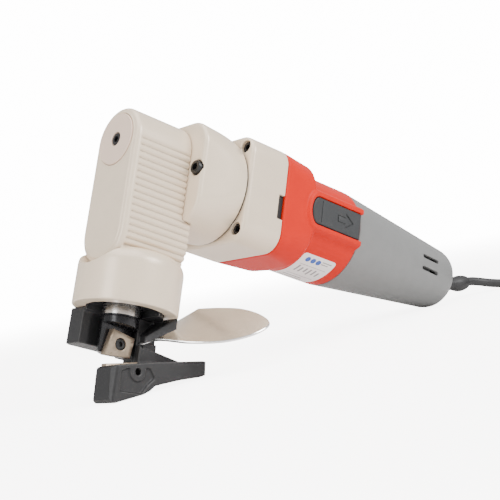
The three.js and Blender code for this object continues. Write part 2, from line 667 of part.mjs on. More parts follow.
// ---- motor housing and tail --------------------------------------------------------------------
function addMotorHousing() {
  const steps = 5;
  const collar = roundedSquare(CASE_HALF, CASE_CORNER, steps);
  const barrel = roundedSquare(BARREL_R, BARREL_R - 1, steps);
  const outside = loft([
    atX(collar, MOTOR_FRONT),
    atX(roundedSquare(CASE_HALF, CASE_CORNER + 6, steps), COLLAR_REAR),
    atX(barrel, COLLAR_REAR - 7),
    atX(barrel, MOTOR_REAR),
  ]);
  const frame = prism("y", pill(SWITCH_FRONT + 3, SWITCH_HALF + 3.5, MOTOR_REAR), 20, FRAME_TOP);
  const inside = rod("x", AXIS, MOTOR_REAR - 1, -94, BARREL_R - SHELL, ROUND);
  const seat = rod("x", AXIS, -95, MOTOR_FRONT + 1, BEARING_SEAT_R, 24);
  const slideRoom = prism("y", pill(SWITCH_FRONT + 0.5, SWITCH_HALF + 0.5, MOTOR_REAR - 1), 32.3, 50);
  const stemRoom = box(-136, -113, 24, 50, SWITCH_Z - 3.5, SWITCH_Z + 3.5);
  const shanks = SCREW_SPOTS.map((spot) => rod("x", spotCentre(spot), -86, MOTOR_FRONT + 1, SHANK_ROOM_R, 12));
  const shell = cut(union(outside, frame), inside, seat, slideRoom, stemRoom, ...shanks);
  add("motor_housing", shell, orangePlastic);
}

function tailProfile(inset) {
  return [
    [MOTOR_REAR - GAP + (inset ? 1 : 0), 0],
    [MOTOR_REAR - GAP + (inset ? 1 : 0), BARREL_R - inset],
    [TAIL_X, TAIL_R - inset],
    [TAIL_HEEL[0], TAIL_HEEL[1] - inset],
    [TAIL_X - 9, TAIL_R - 5.5 - inset],
    [TAIL_END + (inset ? SHELL : 0), TAIL_R - 12],
    [TAIL_END + (inset ? SHELL : 0), 0],
  ];
}

const VENTS = [4.5, -3.8]; // heights of the slots on each side
const VENT_SPAN = [-239, -220];
const VENT_HALF = 1.4;
const CORD_HOLE_R = 6.6;

function addTail() {
  const slots = [[10, 40], [-40, -10]].flatMap((sides) =>
    VENTS.map((z) => box(...VENT_SPAN, ...sides, z - VENT_HALF, z + VENT_HALF))
  );
  const shell = cut(
    revolve("x", AXIS, tailProfile(0)),
    revolve("x", AXIS, tailProfile(SHELL)),
    rod("x", AXIS, TAIL_END - 1, TAIL_END + 5, CORD_HOLE_R, 20),
    ...slots
  );
  add("rear_housing", shell, greyPlastic);

  add("cord_clamp", box(-252, -245, -10, 10, 4.2, 9), slatePlastic);
  const bracket = cut(
    rod("x", AXIS, -234, -223, 20.2, 24),
    rod("x", AXIS, -240, -210, REAR_BEARING.radius + GAP, 20),
    box(-240, -210, -30, 30, 12, 30)
  );
  add("bearing_bracket", bracket, slatePlastic);
}

// ---- slide switch ------------------------------------------------------------------------------
function addSwitch() {
  const slab = prism("y", pill(SWITCH_FRONT, SWITCH_HALF, SWITCH_REAR), BARREL_R + GAP, FRAME_TOP - 0.1);
  const stem = box(-128, -115, 27.2, BARREL_R + 1, SWITCH_Z - 3, SWITCH_Z + 3);
  add("switch_slider", union(slab, stem), slatePlastic);
  const lever = box(-131, -128.4, 24, 26.8, SWITCH_Z - 1.5, SWITCH_Z + 1.5);
  add("power_switch", union(box(-138, -124, 14, 24.3, -6.5, 9.5), lever), slatePlastic);
}

addHead();
addRam();
addYoke();
addNeck();
addGearCase();
addGears();
addCrank();
addMotor();
addMotorHousing();
addTail();
addSwitch();

// ---- resting pose ------------------------------------------------------------------------------
const group = new THREE.Group();
tool.rotation.y = -TILT;
group.add(tool);
group.updateMatrixWorld(true);
const bounds = new THREE.Box3().setFromObject(tool, true);
const middle = bounds.getCenter(new THREE.Vector3());
tool.position.set(-middle.x, -middle.y, -bounds.min.z);
tool.updateMatrixWorld(true);

// ---- mains lead, in the resting axes -----------------------------------------------------------
// Tube of round sections along a smooth curve; radii are read evenly along it.
function hose(route, radii, facets, steps) {
  const curve = new THREE.CatmullRomCurve3(route.map((p) => new THREE.Vector3(...p)), false, "centripetal");
  const frames = curve.computeFrenetFrames(steps, false);
  const sections = [];
  for (let i = 0; i <= steps; i++) {
    const at = (i / steps) * (radii.length - 1);
    const low = Math.min(Math.floor(at), radii.length - 2);
    const radius = THREE.MathUtils.lerp(radii[low], radii[low + 1], at - low);
    const middleOfRing = curve.getPointAt(i / steps);
    sections.push(
      arc(0, 0, radius, 0, TAU, facets)
        .slice(0, -1)
        .map(([u, v]) =>
          middleOfRing
            .clone()
            .addScaledVector(frames.normals[i], u)
            .addScaledVector(frames.binormals[i], v)
            .toArray()
        )
    );
  }
  return loft(sections);
}

const fromTool = (p) => tool.localToWorld(new THREE.Vector3(...p)).toArray();

// Strain relief: out of the tail along the body axis, then level, in the tool's axes.
const RELIEF_ROUTE = [[-257, 0, 0], [-266, 0, 0], [-274, 0.2, 0.6], [-282, 0.8, 2.2], [-289, 1.7, 4.4],
  [-296, 3.2, 7.3]];
const RELIEF_RADII = [6.2, 6.2, 5.9, 5.5, 5.1, 4.8, 4.6, 5.2, 6, 6, 5.2];

// Uncoiled stretch of the lead, from the strain relief down on to the table and along it to the coil.
const CORD_ROUTE = [
  [-185.2, -5.3, 10.5],
  [-191.0, -4.3, 9.8],
  [-197.2, -1.9, 8.1],
  [-202.6, 2.2, 6.0],
  [-206.7, 7.6, 4.4],
  [-209.0, 13.0, 3.6],
  [-209.8, 16.4, 3.4],
];
const COIL_X = -252.6;
const COIL_Y = 41.4;
const COIL_HALF = CORD_R * COIL_DEEP; // half the width of the wound ring
const COIL_HIGH = 2 * CORD_R * COIL_DEEP + 0.4;

function addCord() {
  const cordNode = (name, solid, material) => addNode(group, name, solid, material);
  cordNode("strain_relief", hose(RELIEF_ROUTE.map(fromTool), RELIEF_RADII, 12, 20), blackRubber);
  cordNode("power_cord", hose(CORD_ROUTE, [CORD_R, CORD_R], 10, 16), blackRubber);
  const centreOfCoil = [COIL_X, COIL_Y, 0];
  const coil = ring("z", centreOfCoil, 0, COIL_HIGH, COIL_R + COIL_HALF + 0.3, COIL_R - COIL_HALF - 0.3, 40);
  cordNode("cord_coil", coil, blackRubber);

  const [inner, outer] = [COIL_R - COIL_HALF - 0.6, COIL_R + COIL_HALF + 0.6];
  const strap = cut(
    box(COIL_X - outer - 2, COIL_X - inner + 2, COIL_Y - 4, COIL_Y + 4, 0.4, COIL_HIGH + 1.7),
    box(COIL_X - outer - 0.5, COIL_X - inner + 0.5, COIL_Y - 5, COIL_Y + 5, 0, COIL_HIGH + 0.3)
  );
  cordNode("cord_tie", strap, blackRubber);

  const plugY = COIL_Y + COIL_R - COIL_HALF + CORD_R;
  const section = (x, z, half, high, corner) =>
    roundedSquare(half, corner, 4).map(([u, v]) => [COIL_X + x, plugY + u, z + (v * high) / half]);
  const plugLow = COIL_HIGH + 0.4;
  const plug = loft([
    section(0, plugLow + 4, 4, 4, 3.9),
    section(-12, plugLow + PLUG_HALF - 2, 5, 5, 4.5),
    section(-15, plugLow + PLUG_HALF, 12, PLUG_HALF, 4.5),
    section(-18, plugLow + PLUG_HALF, 17, PLUG_HALF, 5),
    section(-PLUG_LONG, plugLow + PLUG_HALF, 17, PLUG_HALF, 5),
  ]);
  cordNode("mains_plug", plug, blackRubber);
  for (const [side, word] of [[-1, "left"], [1, "right"]]) {
    const tip = [COIL_X - PLUG_LONG - GAP, plugY + side * 9.5, plugLow + PLUG_HALF];
    cordNode(`plug_pin_${word}`, rod("x", tip, -19, 0, 2, 12), brightSteel);
  }
}

addCord();

export default group;
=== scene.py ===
import json
import math

import bmesh
import bpy
from mathutils import Matrix, Vector


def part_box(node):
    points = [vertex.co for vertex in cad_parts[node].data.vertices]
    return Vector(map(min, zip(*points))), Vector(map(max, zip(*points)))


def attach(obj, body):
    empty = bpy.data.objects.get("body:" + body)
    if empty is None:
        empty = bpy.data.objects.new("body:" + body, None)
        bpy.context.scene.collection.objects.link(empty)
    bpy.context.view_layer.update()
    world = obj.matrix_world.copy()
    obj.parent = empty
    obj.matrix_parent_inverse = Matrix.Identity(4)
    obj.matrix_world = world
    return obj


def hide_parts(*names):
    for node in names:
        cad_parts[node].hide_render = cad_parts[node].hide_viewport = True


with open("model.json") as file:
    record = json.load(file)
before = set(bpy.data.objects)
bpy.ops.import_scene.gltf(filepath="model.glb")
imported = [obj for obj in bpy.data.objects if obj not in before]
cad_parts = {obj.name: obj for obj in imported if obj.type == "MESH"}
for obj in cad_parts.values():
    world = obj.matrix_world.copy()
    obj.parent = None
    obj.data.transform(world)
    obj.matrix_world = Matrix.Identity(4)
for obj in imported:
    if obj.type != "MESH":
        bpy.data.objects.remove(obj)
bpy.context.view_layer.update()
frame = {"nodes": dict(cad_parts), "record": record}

nodes = frame["nodes"]
MM = 0.001
TAU = 2 * math.pi

# ---- the tool's own axes: +X out of the head, +Y to the switch, +Z up along the ram, millimetres ----
TILT = math.radians(23.75)
ORIGIN = (0.0894146, -0.0085956, 0.1229435)
TOOL = Matrix.Translation(ORIGIN) @ Matrix.Rotation(-TILT, 4, "Y") @ Matrix.Scale(MM, 4)
ROW = Matrix.Scale(MM, 4)

# ---- camera ----------------------------------------------------------------------------------------
TARGET = Vector((0.016, -0.0148, 0.0649))
AZIMUTH, ELEVATION, ROLL = (math.radians(a) for a in (137.12, 0.39, -10.86))
DISTANCE = 0.69
LENS = 79.28


def make_camera():
    data = bpy.data.cameras.new("camera")
    data.lens = LENS
    data.sensor_width = 36
    data.clip_start = 0.01
    data.clip_end = 50
    cam = bpy.data.objects.new("camera", data)
    bpy.context.scene.collection.objects.link(cam)
    flat = math.cos(ELEVATION)
    back = Vector((math.sin(AZIMUTH) * flat, -math.cos(AZIMUTH) * flat, math.sin(ELEVATION)))
    cam.location = TARGET + back * DISTANCE
    turn = (-back).to_track_quat("-Z", "Y").to_matrix().to_4x4()
    cam.rotation_euler = (turn @ Matrix.Rotation(ROLL, 4, "Z")).to_euler()
    bpy.context.scene.camera = cam


make_camera()


# ---- mesh tools ------------------------------------------------------------------------------------
def new_object(name, verts, faces, matrix=TOOL):
    mesh = bpy.data.meshes.new(name)
    mesh.from_pydata([matrix @ Vector(v) for v in verts], [], faces)
    mesh.validate()
    bm = bmesh.new()
    bm.from_mesh(mesh)
    bmesh.ops.remove_doubles(bm, verts=bm.verts, dist=1e-7)
    bmesh.ops.recalc_face_normals(bm, faces=bm.faces)
    bm.to_mesh(mesh)
    bm.free()
    obj = bpy.data.objects.new(name, mesh)
    bpy.context.scene.collection.objects.link(obj)
    return obj


def loft(name, rings, matrix=TOOL):
    """Skin through rings of equal count, capped at both ends."""
    n = len(rings[0])
    verts = [v for ring in rings for v in ring]
    faces = []
    for s in range(len(rings) - 1):
        for i in range(n):
            j = (i + 1) % n
            faces.append((s * n + i, s * n + j, (s + 1) * n + j, (s + 1) * n + i))
    for base in (0, (len(rings) - 1) * n):
        faces.append(tuple(range(base, base + n)))
    return new_object(name, verts, faces, matrix)


def revolve(name, axis, centre, profile, count=72, matrix=TOOL):
    """Closed profile of (along, radius) turned about an axis; a radius of 0 closes it at the axis."""
    a = "xyz".index(axis)
    b, c = (a + 1) % 3, (a + 2) % 3
    verts, faces = [], []
    rows = []
    for along, radius in profile:
        if radius <= 0:
            p = list(centre)
            p[a] += along
            rows.append([len(verts)] * count)
            verts.append(p)
            continue
        row = []
        for k in range(count):
            t = TAU * k / count
            p = list(centre)
            p[a] += along
            p[b] += radius * math.cos(t)
            p[c] += radius * math.sin(t)
            row.append(len(verts))
            verts.append(p)
        rows.append(row)
    open_ends = profile[0][1] <= 0 and profile[-1][1] <= 0
    pairs = list(zip(rows, rows[1:])) + ([] if open_ends else [(rows[-1], rows[0])])
    for low, high in pairs:
        for k in range(count):
            m = (k + 1) % count
            face = []
            for v in (low[k], low[m], high[m], high[k]):
                if v not in face:
                    face.append(v)
            if len(face) > 2:
                faces.append(tuple(face))
    return new_object(name, verts, faces, matrix)


def rod(name, axis, centre, start, end, radius, count=48, edge=0.0):
    profile = [(start, 0), (start, radius), (end, radius), (end, 0)]
    if edge:
        profile = [(start, 0), (start, radius - edge), (start + edge, radius),
                   (end - edge, radius), (end, radius - edge), (end, 0)]
    return revolve(name, axis, centre, profile, count)


def block(name, x, y, z, matrix=TOOL):
    verts = [(a, b, c) for a in x for b in y for c in z]
    faces = [(0, 1, 3, 2), (4, 6, 7, 5), (0, 4, 5, 1), (2, 3, 7, 6), (0, 2, 6, 4), (1, 5, 7, 3)]
    return new_object(name, verts, faces, matrix)


def prism(name, axis, outline, start, end, matrix=TOOL):
    place = {
        "x": lambda u, v, a: (a, u, v),
        "y": lambda u, v, a: (u, a, v),
        "z": lambda u, v, a: (u, v, a),
    }[axis]
    return loft(name, [[place(u, v, a) for u, v in outline] for a in (start, end)], matrix)


def drop(obj):
    mesh = obj.data
    bpy.data.objects.remove(obj)
    bpy.data.meshes.remove(mesh)


def bake_modifiers(obj):
    graph = bpy.context.evaluated_depsgraph_get()
    mesh = bpy.data.meshes.new_from_object(obj.evaluated_get(graph))
    old = obj.data
    obj.modifiers.clear()
    obj.data = mesh
    bpy.data.meshes.remove(old)
    return obj


def boolean(obj, operation, others):
    for other in others:
        m = obj.modifiers.new("boolean", "BOOLEAN")
        m.operation = operation
        m.solver = "MANIFOLD"
        m.object = other
        bake_modifiers(obj)
        drop(other)
    return obj


def cut(obj, *others):
    return boolean(obj, "DIFFERENCE", others)


def join(obj, *others):
    return boolean(obj, "UNION", others)


def cast(obj, voxel=0.5, smooth=4, keep=0.4):
    """Rounds every edge as a casting or moulding has it: fine remesh, smoothing, then fewer faces."""
    m = obj.modifiers.new("remesh", "REMESH")
    m.mode = "VOXEL"
    m.voxel_size = voxel * MM
    m = obj.modifiers.new("smooth", "SMOOTH")
    m.factor = 0.5
    m.iterations = smooth
    m = obj.modifiers.new("fewer", "DECIMATE")
    m.ratio = keep
    return bake_modifiers(obj)


def bevel(obj, width, segments=2, angle=35):
    m = obj.modifiers.new("bevel", "BEVEL")
    m.width = width * MM
    m.segments = segments
    m.limit_method = "ANGLE"
    m.angle_limit = math.radians(angle)
    m.use_clamp_overlap = True
    return bake_modifiers(obj)


def shade(obj, angle=35):
    obj.data.shade_smooth()
    obj.data.set_sharp_from_angle(angle=math.radians(angle))


def finish_piece(obj, material, body="tool", replaces=(), angle=35):
    shade(obj, angle)
    obj.data.materials.clear()
    obj.data.materials.append(material)
    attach(obj, body)
    if replaces:
        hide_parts(*replaces)
    return obj


def arc(cx, cy, radius, start, end, steps):
    out = []
    for i in range(steps + 1):
        a = start + (end - start) * i / steps
        out.append((cx + radius * math.cos(a), cy + radius * math.sin(a)))
    return out


def rounded(half, corner, steps=10, half_b=None):
    half_b = half if half_b is None else half_b
    corner = min(corner, half, half_b)
    out = []
    for k, (sy, sz) in enumerate(((1, 1), (-1, 1), (-1, -1), (1, -1))):
        centre = (sy * (half - corner), sz * (half_b - corner))
        out += arc(*centre, corner, k * TAU / 4, (k + 1) * TAU / 4, steps)
    return out


def at_x(outline, x):
    return [(x, y, z) for y, z in outline]


# ---- materials -------------------------------------------------------------------------------------
def material(name, color, rough, metal=0.0, vary=0.05, grain=0.3, bump=0.1, rough_vary=0.06,
             patch=9.0, wear=0.0, wear_color=(0.4, 0.4, 0.4), brush=None, coat=0.0, depth=0.05,
             painted_groove_shade=0.0, shine=0.5):
    """Principled surface with broad tone variation and fine grain in colour, roughness and bump.
    grain and patch are feature sizes in millimetres; brush stretches the grain along one axis;
    wear lightens the edges, and the groove setting darkens the base colour in concave grooves as painted
    shade."""
    mat = bpy.data.materials.new(name)
    mat.use_nodes = True
    tree = mat.node_tree
    new, link = tree.nodes.new, tree.links.new
    shader = tree.nodes["Principled BSDF"]
    shader.inputs["Metallic"].default_value = metal
    shader.inputs["Coat Weight"].default_value = coat
    shader.inputs["Coat Roughness"].default_value = 0.18
    shader.inputs["Specular IOR Level"].default_value = shine
    where = new("ShaderNodeTexCoord").outputs["Object"]
    stretch = new("ShaderNodeMapping")
    stretch.inputs["Scale"].default_value = brush or (1, 1, 1)
    link(where, stretch.inputs["Vector"])

    def noise(size, detail, source):
        n = new("ShaderNodeTexNoise")
        n.inputs["Scale"].default_value = 1 / (size * MM)
        n.inputs["Detail"].default_value = detail
        link(source, n.inputs["Vector"])
        return n.outputs["Fac"]

    def ramp(source, low, high, a, b):
        r = new("ShaderNodeValToRGB")
        r.color_ramp.elements[0].position = low
        r.color_ramp.elements[1].position = high
        r.color_ramp.elements[0].color = (*a, 1)
        r.color_ramp.elements[1].color = (*b, 1)
        link(source, r.inputs["Fac"])
        return r.outputs["Color"]

    broad = noise(patch, 3, where)
    fine = noise(grain, 4, stretch.outputs["Vector"])
    tone = ramp(broad, 0.3, 0.7, [c * (1 - vary) for c in color], [min(1, c * (1 + vary)) for c in color])
    speck = ramp(fine, 0.35, 0.65, (1 - vary,) * 3, (1 + vary,) * 3)
    mix = new("ShaderNodeMix")
    mix.data_type = "RGBA"
    mix.blend_type = "MULTIPLY"
    mix.inputs["Factor"].default_value = 1
    link(tone, mix.inputs["A"])
    link(speck, mix.inputs["B"])
    shown = mix.outputs["Result"]
    if wear:
        geometry = new("ShaderNodeNewGeometry")
        edge = ramp(geometry.outputs["Pointiness"], 0.515, 0.56, (0, 0, 0), (wear,) * 3)
        worn = new("ShaderNodeMix")
        worn.data_type = "RGBA"
        worn.inputs["B"].default_value = (*wear_color, 1)
        link(edge, worn.inputs["Factor"])
        link(shown, worn.inputs["A"])
        shown = worn.outputs["Result"]
    # painted shade: darkens the base colour where the surface is concave (low pointiness), standing in for
    # the shade that falls in grooves
    if painted_groove_shade:
        geometry = new("ShaderNodeNewGeometry")
        shade_in = new("ShaderNodeMix")
        shade_in.data_type = "RGBA"
        shade_in.blend_type = "MULTIPLY"
        shade_in.inputs["Factor"].default_value = 1
        link(shown, shade_in.inputs["A"])
        groove = ramp(geometry.outputs["Pointiness"], 0.44, 0.495, (1 - painted_groove_shade,) * 3, (1, 1, 1))
        link(groove, shade_in.inputs["B"])
        shown = shade_in.outputs["Result"]
    link(shown, shader.inputs["Base Color"])
    low, high = max(0.02, rough - rough_vary), min(1, rough + rough_vary)
    link(ramp(fine, 0.3, 0.7, (low,) * 3, (high,) * 3), shader.inputs["Roughness"])
    relief = new("ShaderNodeBump")
    relief.inputs["Strength"].default_value = bump
    relief.inputs["Distance"].default_value = depth * MM
    link(fine, relief.inputs["Height"])
    link(relief.outputs["Normal"], shader.inputs["Normal"])
    return mat


# the rib grooves of the head carry painted shade in their base colour
CAST = material(
    "cast_paint", (0.77, 0.635, 0.48), 0.33, 0.1, vary=0.02, grain=0.55, bump=0.45, coat=0.3, painted_groove_shade=0.55,
)
PAD = material("cast_pad", (0.76, 0.585, 0.47), 0.42, 0.1, vary=0.02, grain=0.5, bump=0.4)
ORANGE = material("orange_plastic", (0.60, 0.012, 0.002), 0.42, vary=0.03, grain=0.35, bump=0.3, shine=0.16)
GREY = material("grey_plastic", (0.185, 0.187, 0.185), 0.44, vary=0.03, grain=0.35, bump=0.3)
SLATE = material("slate_plastic", (0.032, 0.034, 0.036), 0.5, vary=0.05, grain=0.3, bump=0.4, shine=0.3)
CAST_BLACK = material(
    "cast_black", (0.016, 0.016, 0.017), 0.46, 0.2, vary=0.12, grain=0.9, bump=0.8, rough_vary=0.1,
    wear=0.5, wear_color=(0.09, 0.087, 0.085), depth=0.12,
)
BLACK_STEEL = material(
    "black_steel", (0.016, 0.016, 0.018), 0.26, 0.5, vary=0.08, grain=0.6, bump=0.2, brush=(1, 1, 0.1),
)
SCREW = material("black_screw", (0.007, 0.007, 0.008), 0.38, 0.1, vary=0.1, grain=0.4, bump=0.3)
BLADE = material(
    "blade_steel", (0.34, 0.27, 0.20), 0.36, 0.75, vary=0.08, grain=0.5, bump=0.35, brush=(0.15, 1, 1),
    rough_vary=0.1,
)
BRIGHT = material(
    "bright_steel", (0.62, 0.61, 0.60), 0.24, 1.0, vary=0.04, grain=0.5, bump=0.15, brush=(1, 0.1, 1),
)
POLISHED = material(
    "polished_steel", (0.95, 0.94, 0.93), 0.2, 1.0, vary=0.02, grain=0.8, bump=0.05, brush=(0.08, 1, 1),
)
CORE = material(
    "core_steel", (0.07, 0.07, 0.075), 0.5, 0.6, vary=0.12, grain=0.5, bump=0.5, brush=(4, 0.2, 0.2),
)
COPPER = material("copper", (0.55, 0.21, 0.09), 0.34, 0.9, vary=0.1, grain=0.4, bump=0.5, brush=(0.2, 1, 3))
BRASS = material("brass", (0.55, 0.38, 0.13), 0.34, 0.95, vary=0.06, grain=0.5, bump=0.2)
CARBON = material("carbon", (0.018, 0.018, 0.019), 0.62, 0.1, vary=0.15, grain=0.4, bump=0.4)
RUBBER = material("black_rubber", (0.020, 0.020, 0.021), 0.52, vary=0.08, grain=0.5, bump=0.4)
PAPER = material("label_paper", (0.90, 0.86, 0.84), 0.4, vary=0.015, grain=0.4, bump=0.05)
PRINT_BLUE = material("label_blue", (0.035, 0.10, 0.42), 0.4, vary=0.05, grain=0.3, bump=0.05)
PRINT_GREY = material("label_grey", (0.30, 0.29, 0.29), 0.45, vary=0.1, grain=0.3, bump=0.05)
# near-black for two uses: the neck gasket, which shows its own dark colour and also painted shade of the
# seam gap, and painted shade at the bottom of the case slot
GASKET_AND_SHADE_BLACK = material("gasket_black_and_painted_shade", (0.006, 0.006, 0.006), 0.7, vary=0.1, grain=0.4, bump=0.2)

BY_SLOT = {
    "cast_paint": CAST, "black_screw": SCREW, "black_steel": BLACK_STEEL, "blade_steel": BLADE,
    "cast_black": CAST_BLACK, "bright_steel": BRIGHT, "orange_plastic": ORANGE, "grey_plastic": GREY,
    "slate_plastic": SLATE, "core_steel": CORE, "copper": COPPER, "brass": BRASS, "carbon": CARBON,
    "black_rubber": RUBBER,
}
for part in frame["record"]["subparts"]:
    node = nodes[part["node"]]
    while len(node.data.materials) < 1:
        node.data.materials.append(None)
    for spot in node.material_slots:
        spot.material = BY_SLOT[part["material_slot"]]

# ---- mains lead ------------------------------------------------------------------------------------
CORD_R = 3.2
COIL = (-252.6, 41.4)
TURN_R = (42.5, 36.0, 29.5)
TURN_Z = (3.25, 9.75, 16.25)
CORD_ROUTE = [(-185.2, -5.3, 10.5), (-191.0, -4.3, 9.8), (-197.2, -1.9, 8.1), (-202.6, 2.2, 6.0),
              (-206.7, 7.6, 4.4), (-209.0, 13.0, 3.6), (-209.9, 18.4, 3.3), (-210.1, 26.0, 3.25),
              (-210.1, 34.0, 3.25)]
# turning angle in degrees, index into TURN_R, height: each stays until the next row's first angle minus 90
WINDING = [(0, 0, TURN_Z[0]), (360, 1, TURN_Z[0]), (720, 2, TURN_Z[0]), (990, 2, TURN_Z[1]),
           (1260, 1, TURN_Z[1]), (1620, 0, TURN_Z[1]), (1890, 0, TURN_Z[2]), (2160, 1, TURN_Z[2]),
           (2520, 2, TURN_Z[2]), (2790, 2, TURN_Z[2] + 6.5), (2970, 2, 24.0)]
TURN_STEP = 9


def smooth_line(points, step):
    """Even points along a smooth curve through the given ones."""
    p = [Vector(q) for q in points]
    p = [2 * p[0] - p[1], *p, 2 * p[-1] - p[-2]]
    dense = []
    for a, b, c, d in zip(p, p[1:], p[2:], p[3:]):
        for i in range(40):
            t = i / 40
            dense.append(0.5 * (2 * b + (c - a) * t + (2 * a - 5 * b + 4 * c - d) * t * t
                                + (3 * b - a - 3 * c + d) * t ** 3))
    dense.append(p[-2])
    out, run = [dense[0]], 0.0
    for a, b in zip(dense, dense[1:]):
        run += (b - a).length
        if run >= step:
            out.append(b)
            run = 0.0
    if (out[-1] - dense[-1]).length > step * 0.3:
        out.append(dense[-1])
    return out


def coil_points():
    points = []
    end = WINDING[-1][0]
    for degrees in range(0, end + 1, TURN_STEP):
        for (_, r0, z0), (a1, r1, z1) in zip(WINDING, WINDING[1:]):
            if degrees <= a1:
                t = min(1, max(0, (degrees - a1 + 90) / 90))
                t = (1 - math.cos(math.pi * t)) / 2
                radius = TURN_R[r0] + (TURN_R[r1] - TURN_R[r0]) * t
                height = z0 + (z1 - z0) * t
                break
        a = math.radians(degrees)
        points.append(Vector((COIL[0] + radius * math.cos(a), COIL[1] + radius * math.sin(a), height)))
    return points


def tube(name, points, radii, count=16, matrix=ROW):
    """Round tube through points, closed at both ends, with a radius for each point."""
    rings = []
    tangent = (points[1] - points[0]).normalized()
    side = tangent.cross(Vector((0, 0, 1))).normalized()
    for i, p in enumerate(points):
        nxt = points[min(i + 1, len(points) - 1)] - points[max(i - 1, 0)]
        nxt.normalize()
        side = (side - nxt * side.dot(nxt)).normalized()
        up = nxt.cross(side)
        turns = [TAU * k / count for k in range(count)]
        rings.append([p + (side * math.cos(t) + up * math.sin(t)) * radii[i] for t in turns])
    return loft(name, rings, matrix)


def make_lead():
    free = smooth_line(CORD_ROUTE, 3.0)
    path = [*free[:-1], *coil_points()]
    cord = tube("power_lead", path, [CORD_R] * len(path), 12)
    finish_piece(cord, RUBBER, replaces=("power_cord", "cord_coil"), angle=60)
    length = sum((b - a).length for a, b in zip(path, path[1:])) * MM
    return cord, path, length


lead, lead_path, lead_length = make_lead()


def row_point(p):
    """Row-frame millimetres of a point in the tool's axes."""
    return (TOOL @ Vector(p)) / MM


def make_relief():
    route = [(-257, 0, 0), (-266, 0, 0), (-274, 0.2, 0.6), (-282, 0.8, 2.2), (-289, 1.7, 4.4),
             (-296, 3.2, 7.3)]
    line = smooth_line([row_point(p) for p in route], 0.5)
    radii = []
    for i in range(len(line)):
        t = i / (len(line) - 1)
        taper = 5.9 - 1.6 * min(1, t / 0.62)
        if t > 0.62:
            taper = 4.3 + 1.6 * math.sin(math.pi * min(1, (t - 0.62) / 0.38)) ** 0.8
            taper = max(taper, 3.6)
        elif t > 0.26:
            taper -= 0.55 * (0.5 - 0.5 * math.cos(TAU * (t - 0.26) / 0.06))
        radii.append(taper)
    relief = tube("relief_sleeve", line, radii, 32)
    finish_piece(relief, RUBBER, replaces=("strain_relief",), angle=50)


make_relief()

PLUG_Y = 71.0
PLUG_Z = 28.0
PLUG_END = 44


def make_plug():
    def section(x, z, half, high, corner):
        ring = rounded(half, corner, 8, high)
        return [(COIL[0] + x, PLUG_Y + u, z + v) for u, v in ring]

    rings = [section(0.2, 24, 4.4, 4.0, 3.9)]
    for k in range(4):
        x = -1.5 - k * 2.6
        z = 24 + 2.2 * (k + 1) / 4
        half = 4.4 + k * 0.5
        rings.append(section(x, z, half, 4.1 + k * 0.35, 4))
        rings.append(section(x - 1.0, z + 0.2, half - 0.7, 3.7 + k * 0.3, 3.6))
        rings.append(section(x - 1.6, z + 0.3, half - 0.7, 3.7 + k * 0.3, 3.6))
    rings += [section(-12.4, 26.6, 7, 6.2, 5), section(-14.2, 27.6, 11, 7.4, 6),
              section(-17, PLUG_Z, 15.4, 7.8, 6), section(-20, PLUG_Z, 16.7, 7.9, 6)]
    for k in range(5):
        x = -23 - k * 3
        rings += [section(x, PLUG_Z, 16.8, 7.9, 6), section(x - 0.6, PLUG_Z, 16.1, 7.3, 5.6),
                  section(x - 1.4, PLUG_Z, 16.1, 7.3, 5.6), section(x - 2.0, PLUG_Z, 16.8, 7.9, 6)]
    rings += [section(-PLUG_END + 1.2, PLUG_Z, 16.9, 7.9, 5),
              section(-PLUG_END + 0.3, PLUG_Z, 16.4, 7.5, 4.7),
              section(-PLUG_END, PLUG_Z, 15.6, 6.8, 4.4)]
    plug = loft("plug_body", rings, ROW)
    finish_piece(plug, RUBBER, replaces=("mains_plug",), angle=40)
    out = [plug]
    for side, word in ((-1, "left"), (1, "right")):
        centre = (COIL[0] - PLUG_END - 0.3, PLUG_Y + side * 9.5, PLUG_Z)
        profile = [(-19, 0), (-19, 0.9), (-18.4, 1.7), (-17.6, 2.0), (0, 2.0), (0, 0)]
        pin = revolve("pin_" + word, "x", centre, profile, 32, ROW)
        finish_piece(pin, BRIGHT, replaces=("plug_pin_" + word,))
        wall = [(-9, 1.95), (-9, 2.15), (0, 2.15), (0, 1.95)]
        sleeve = revolve("pin_sleeve_" + word, "x", centre, wall, 32, ROW)
        finish_piece(sleeve, SLATE)
        out += [pin, sleeve]
    return out


plug_pieces = make_plug()


def make_tie():
    low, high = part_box("cord_tie")
    lo, hi = low / MM, high / MM
    along = 0 if hi.x - lo.x > hi.y - lo.y else 1
    centre = (lo + hi) / 2
    long_half = (hi[along] - lo[along]) / 2
    wide = 3.6
    top = hi.z - lo.z
    outline = rounded(long_half, 4.0, 8, top / 2)
    inner = rounded(long_half - 1.3, 3.0, 8, top / 2 - 1.2)
    across = 1 - along

    def ring(shape, offset):
        out = []
        for u, v in shape:
            p = [0, 0, centre.z + v]
            p[along] = centre[along] + u
            p[across] = centre[across] + offset
            out.append(tuple(p))
        return out

    rings = [ring(outline, -wide), ring(outline, wide), ring(inner, wide), ring(inner, -wide)]
    n = len(outline)
    verts = [v for r in rings for v in r]
    faces = []
    for s in range(4):
        for i in range(n):
            j = (i + 1) % n
            faces.append((s * n + i, s * n + j, ((s + 1) % 4) * n + j, ((s + 1) % 4) * n + i))
    strap = bevel(new_object("lead_tie", verts, faces, ROW), 0.4, 2, 50)
    finish_piece(strap, SLATE, replaces=("cord_tie",))
    return strap


tie = make_tie()

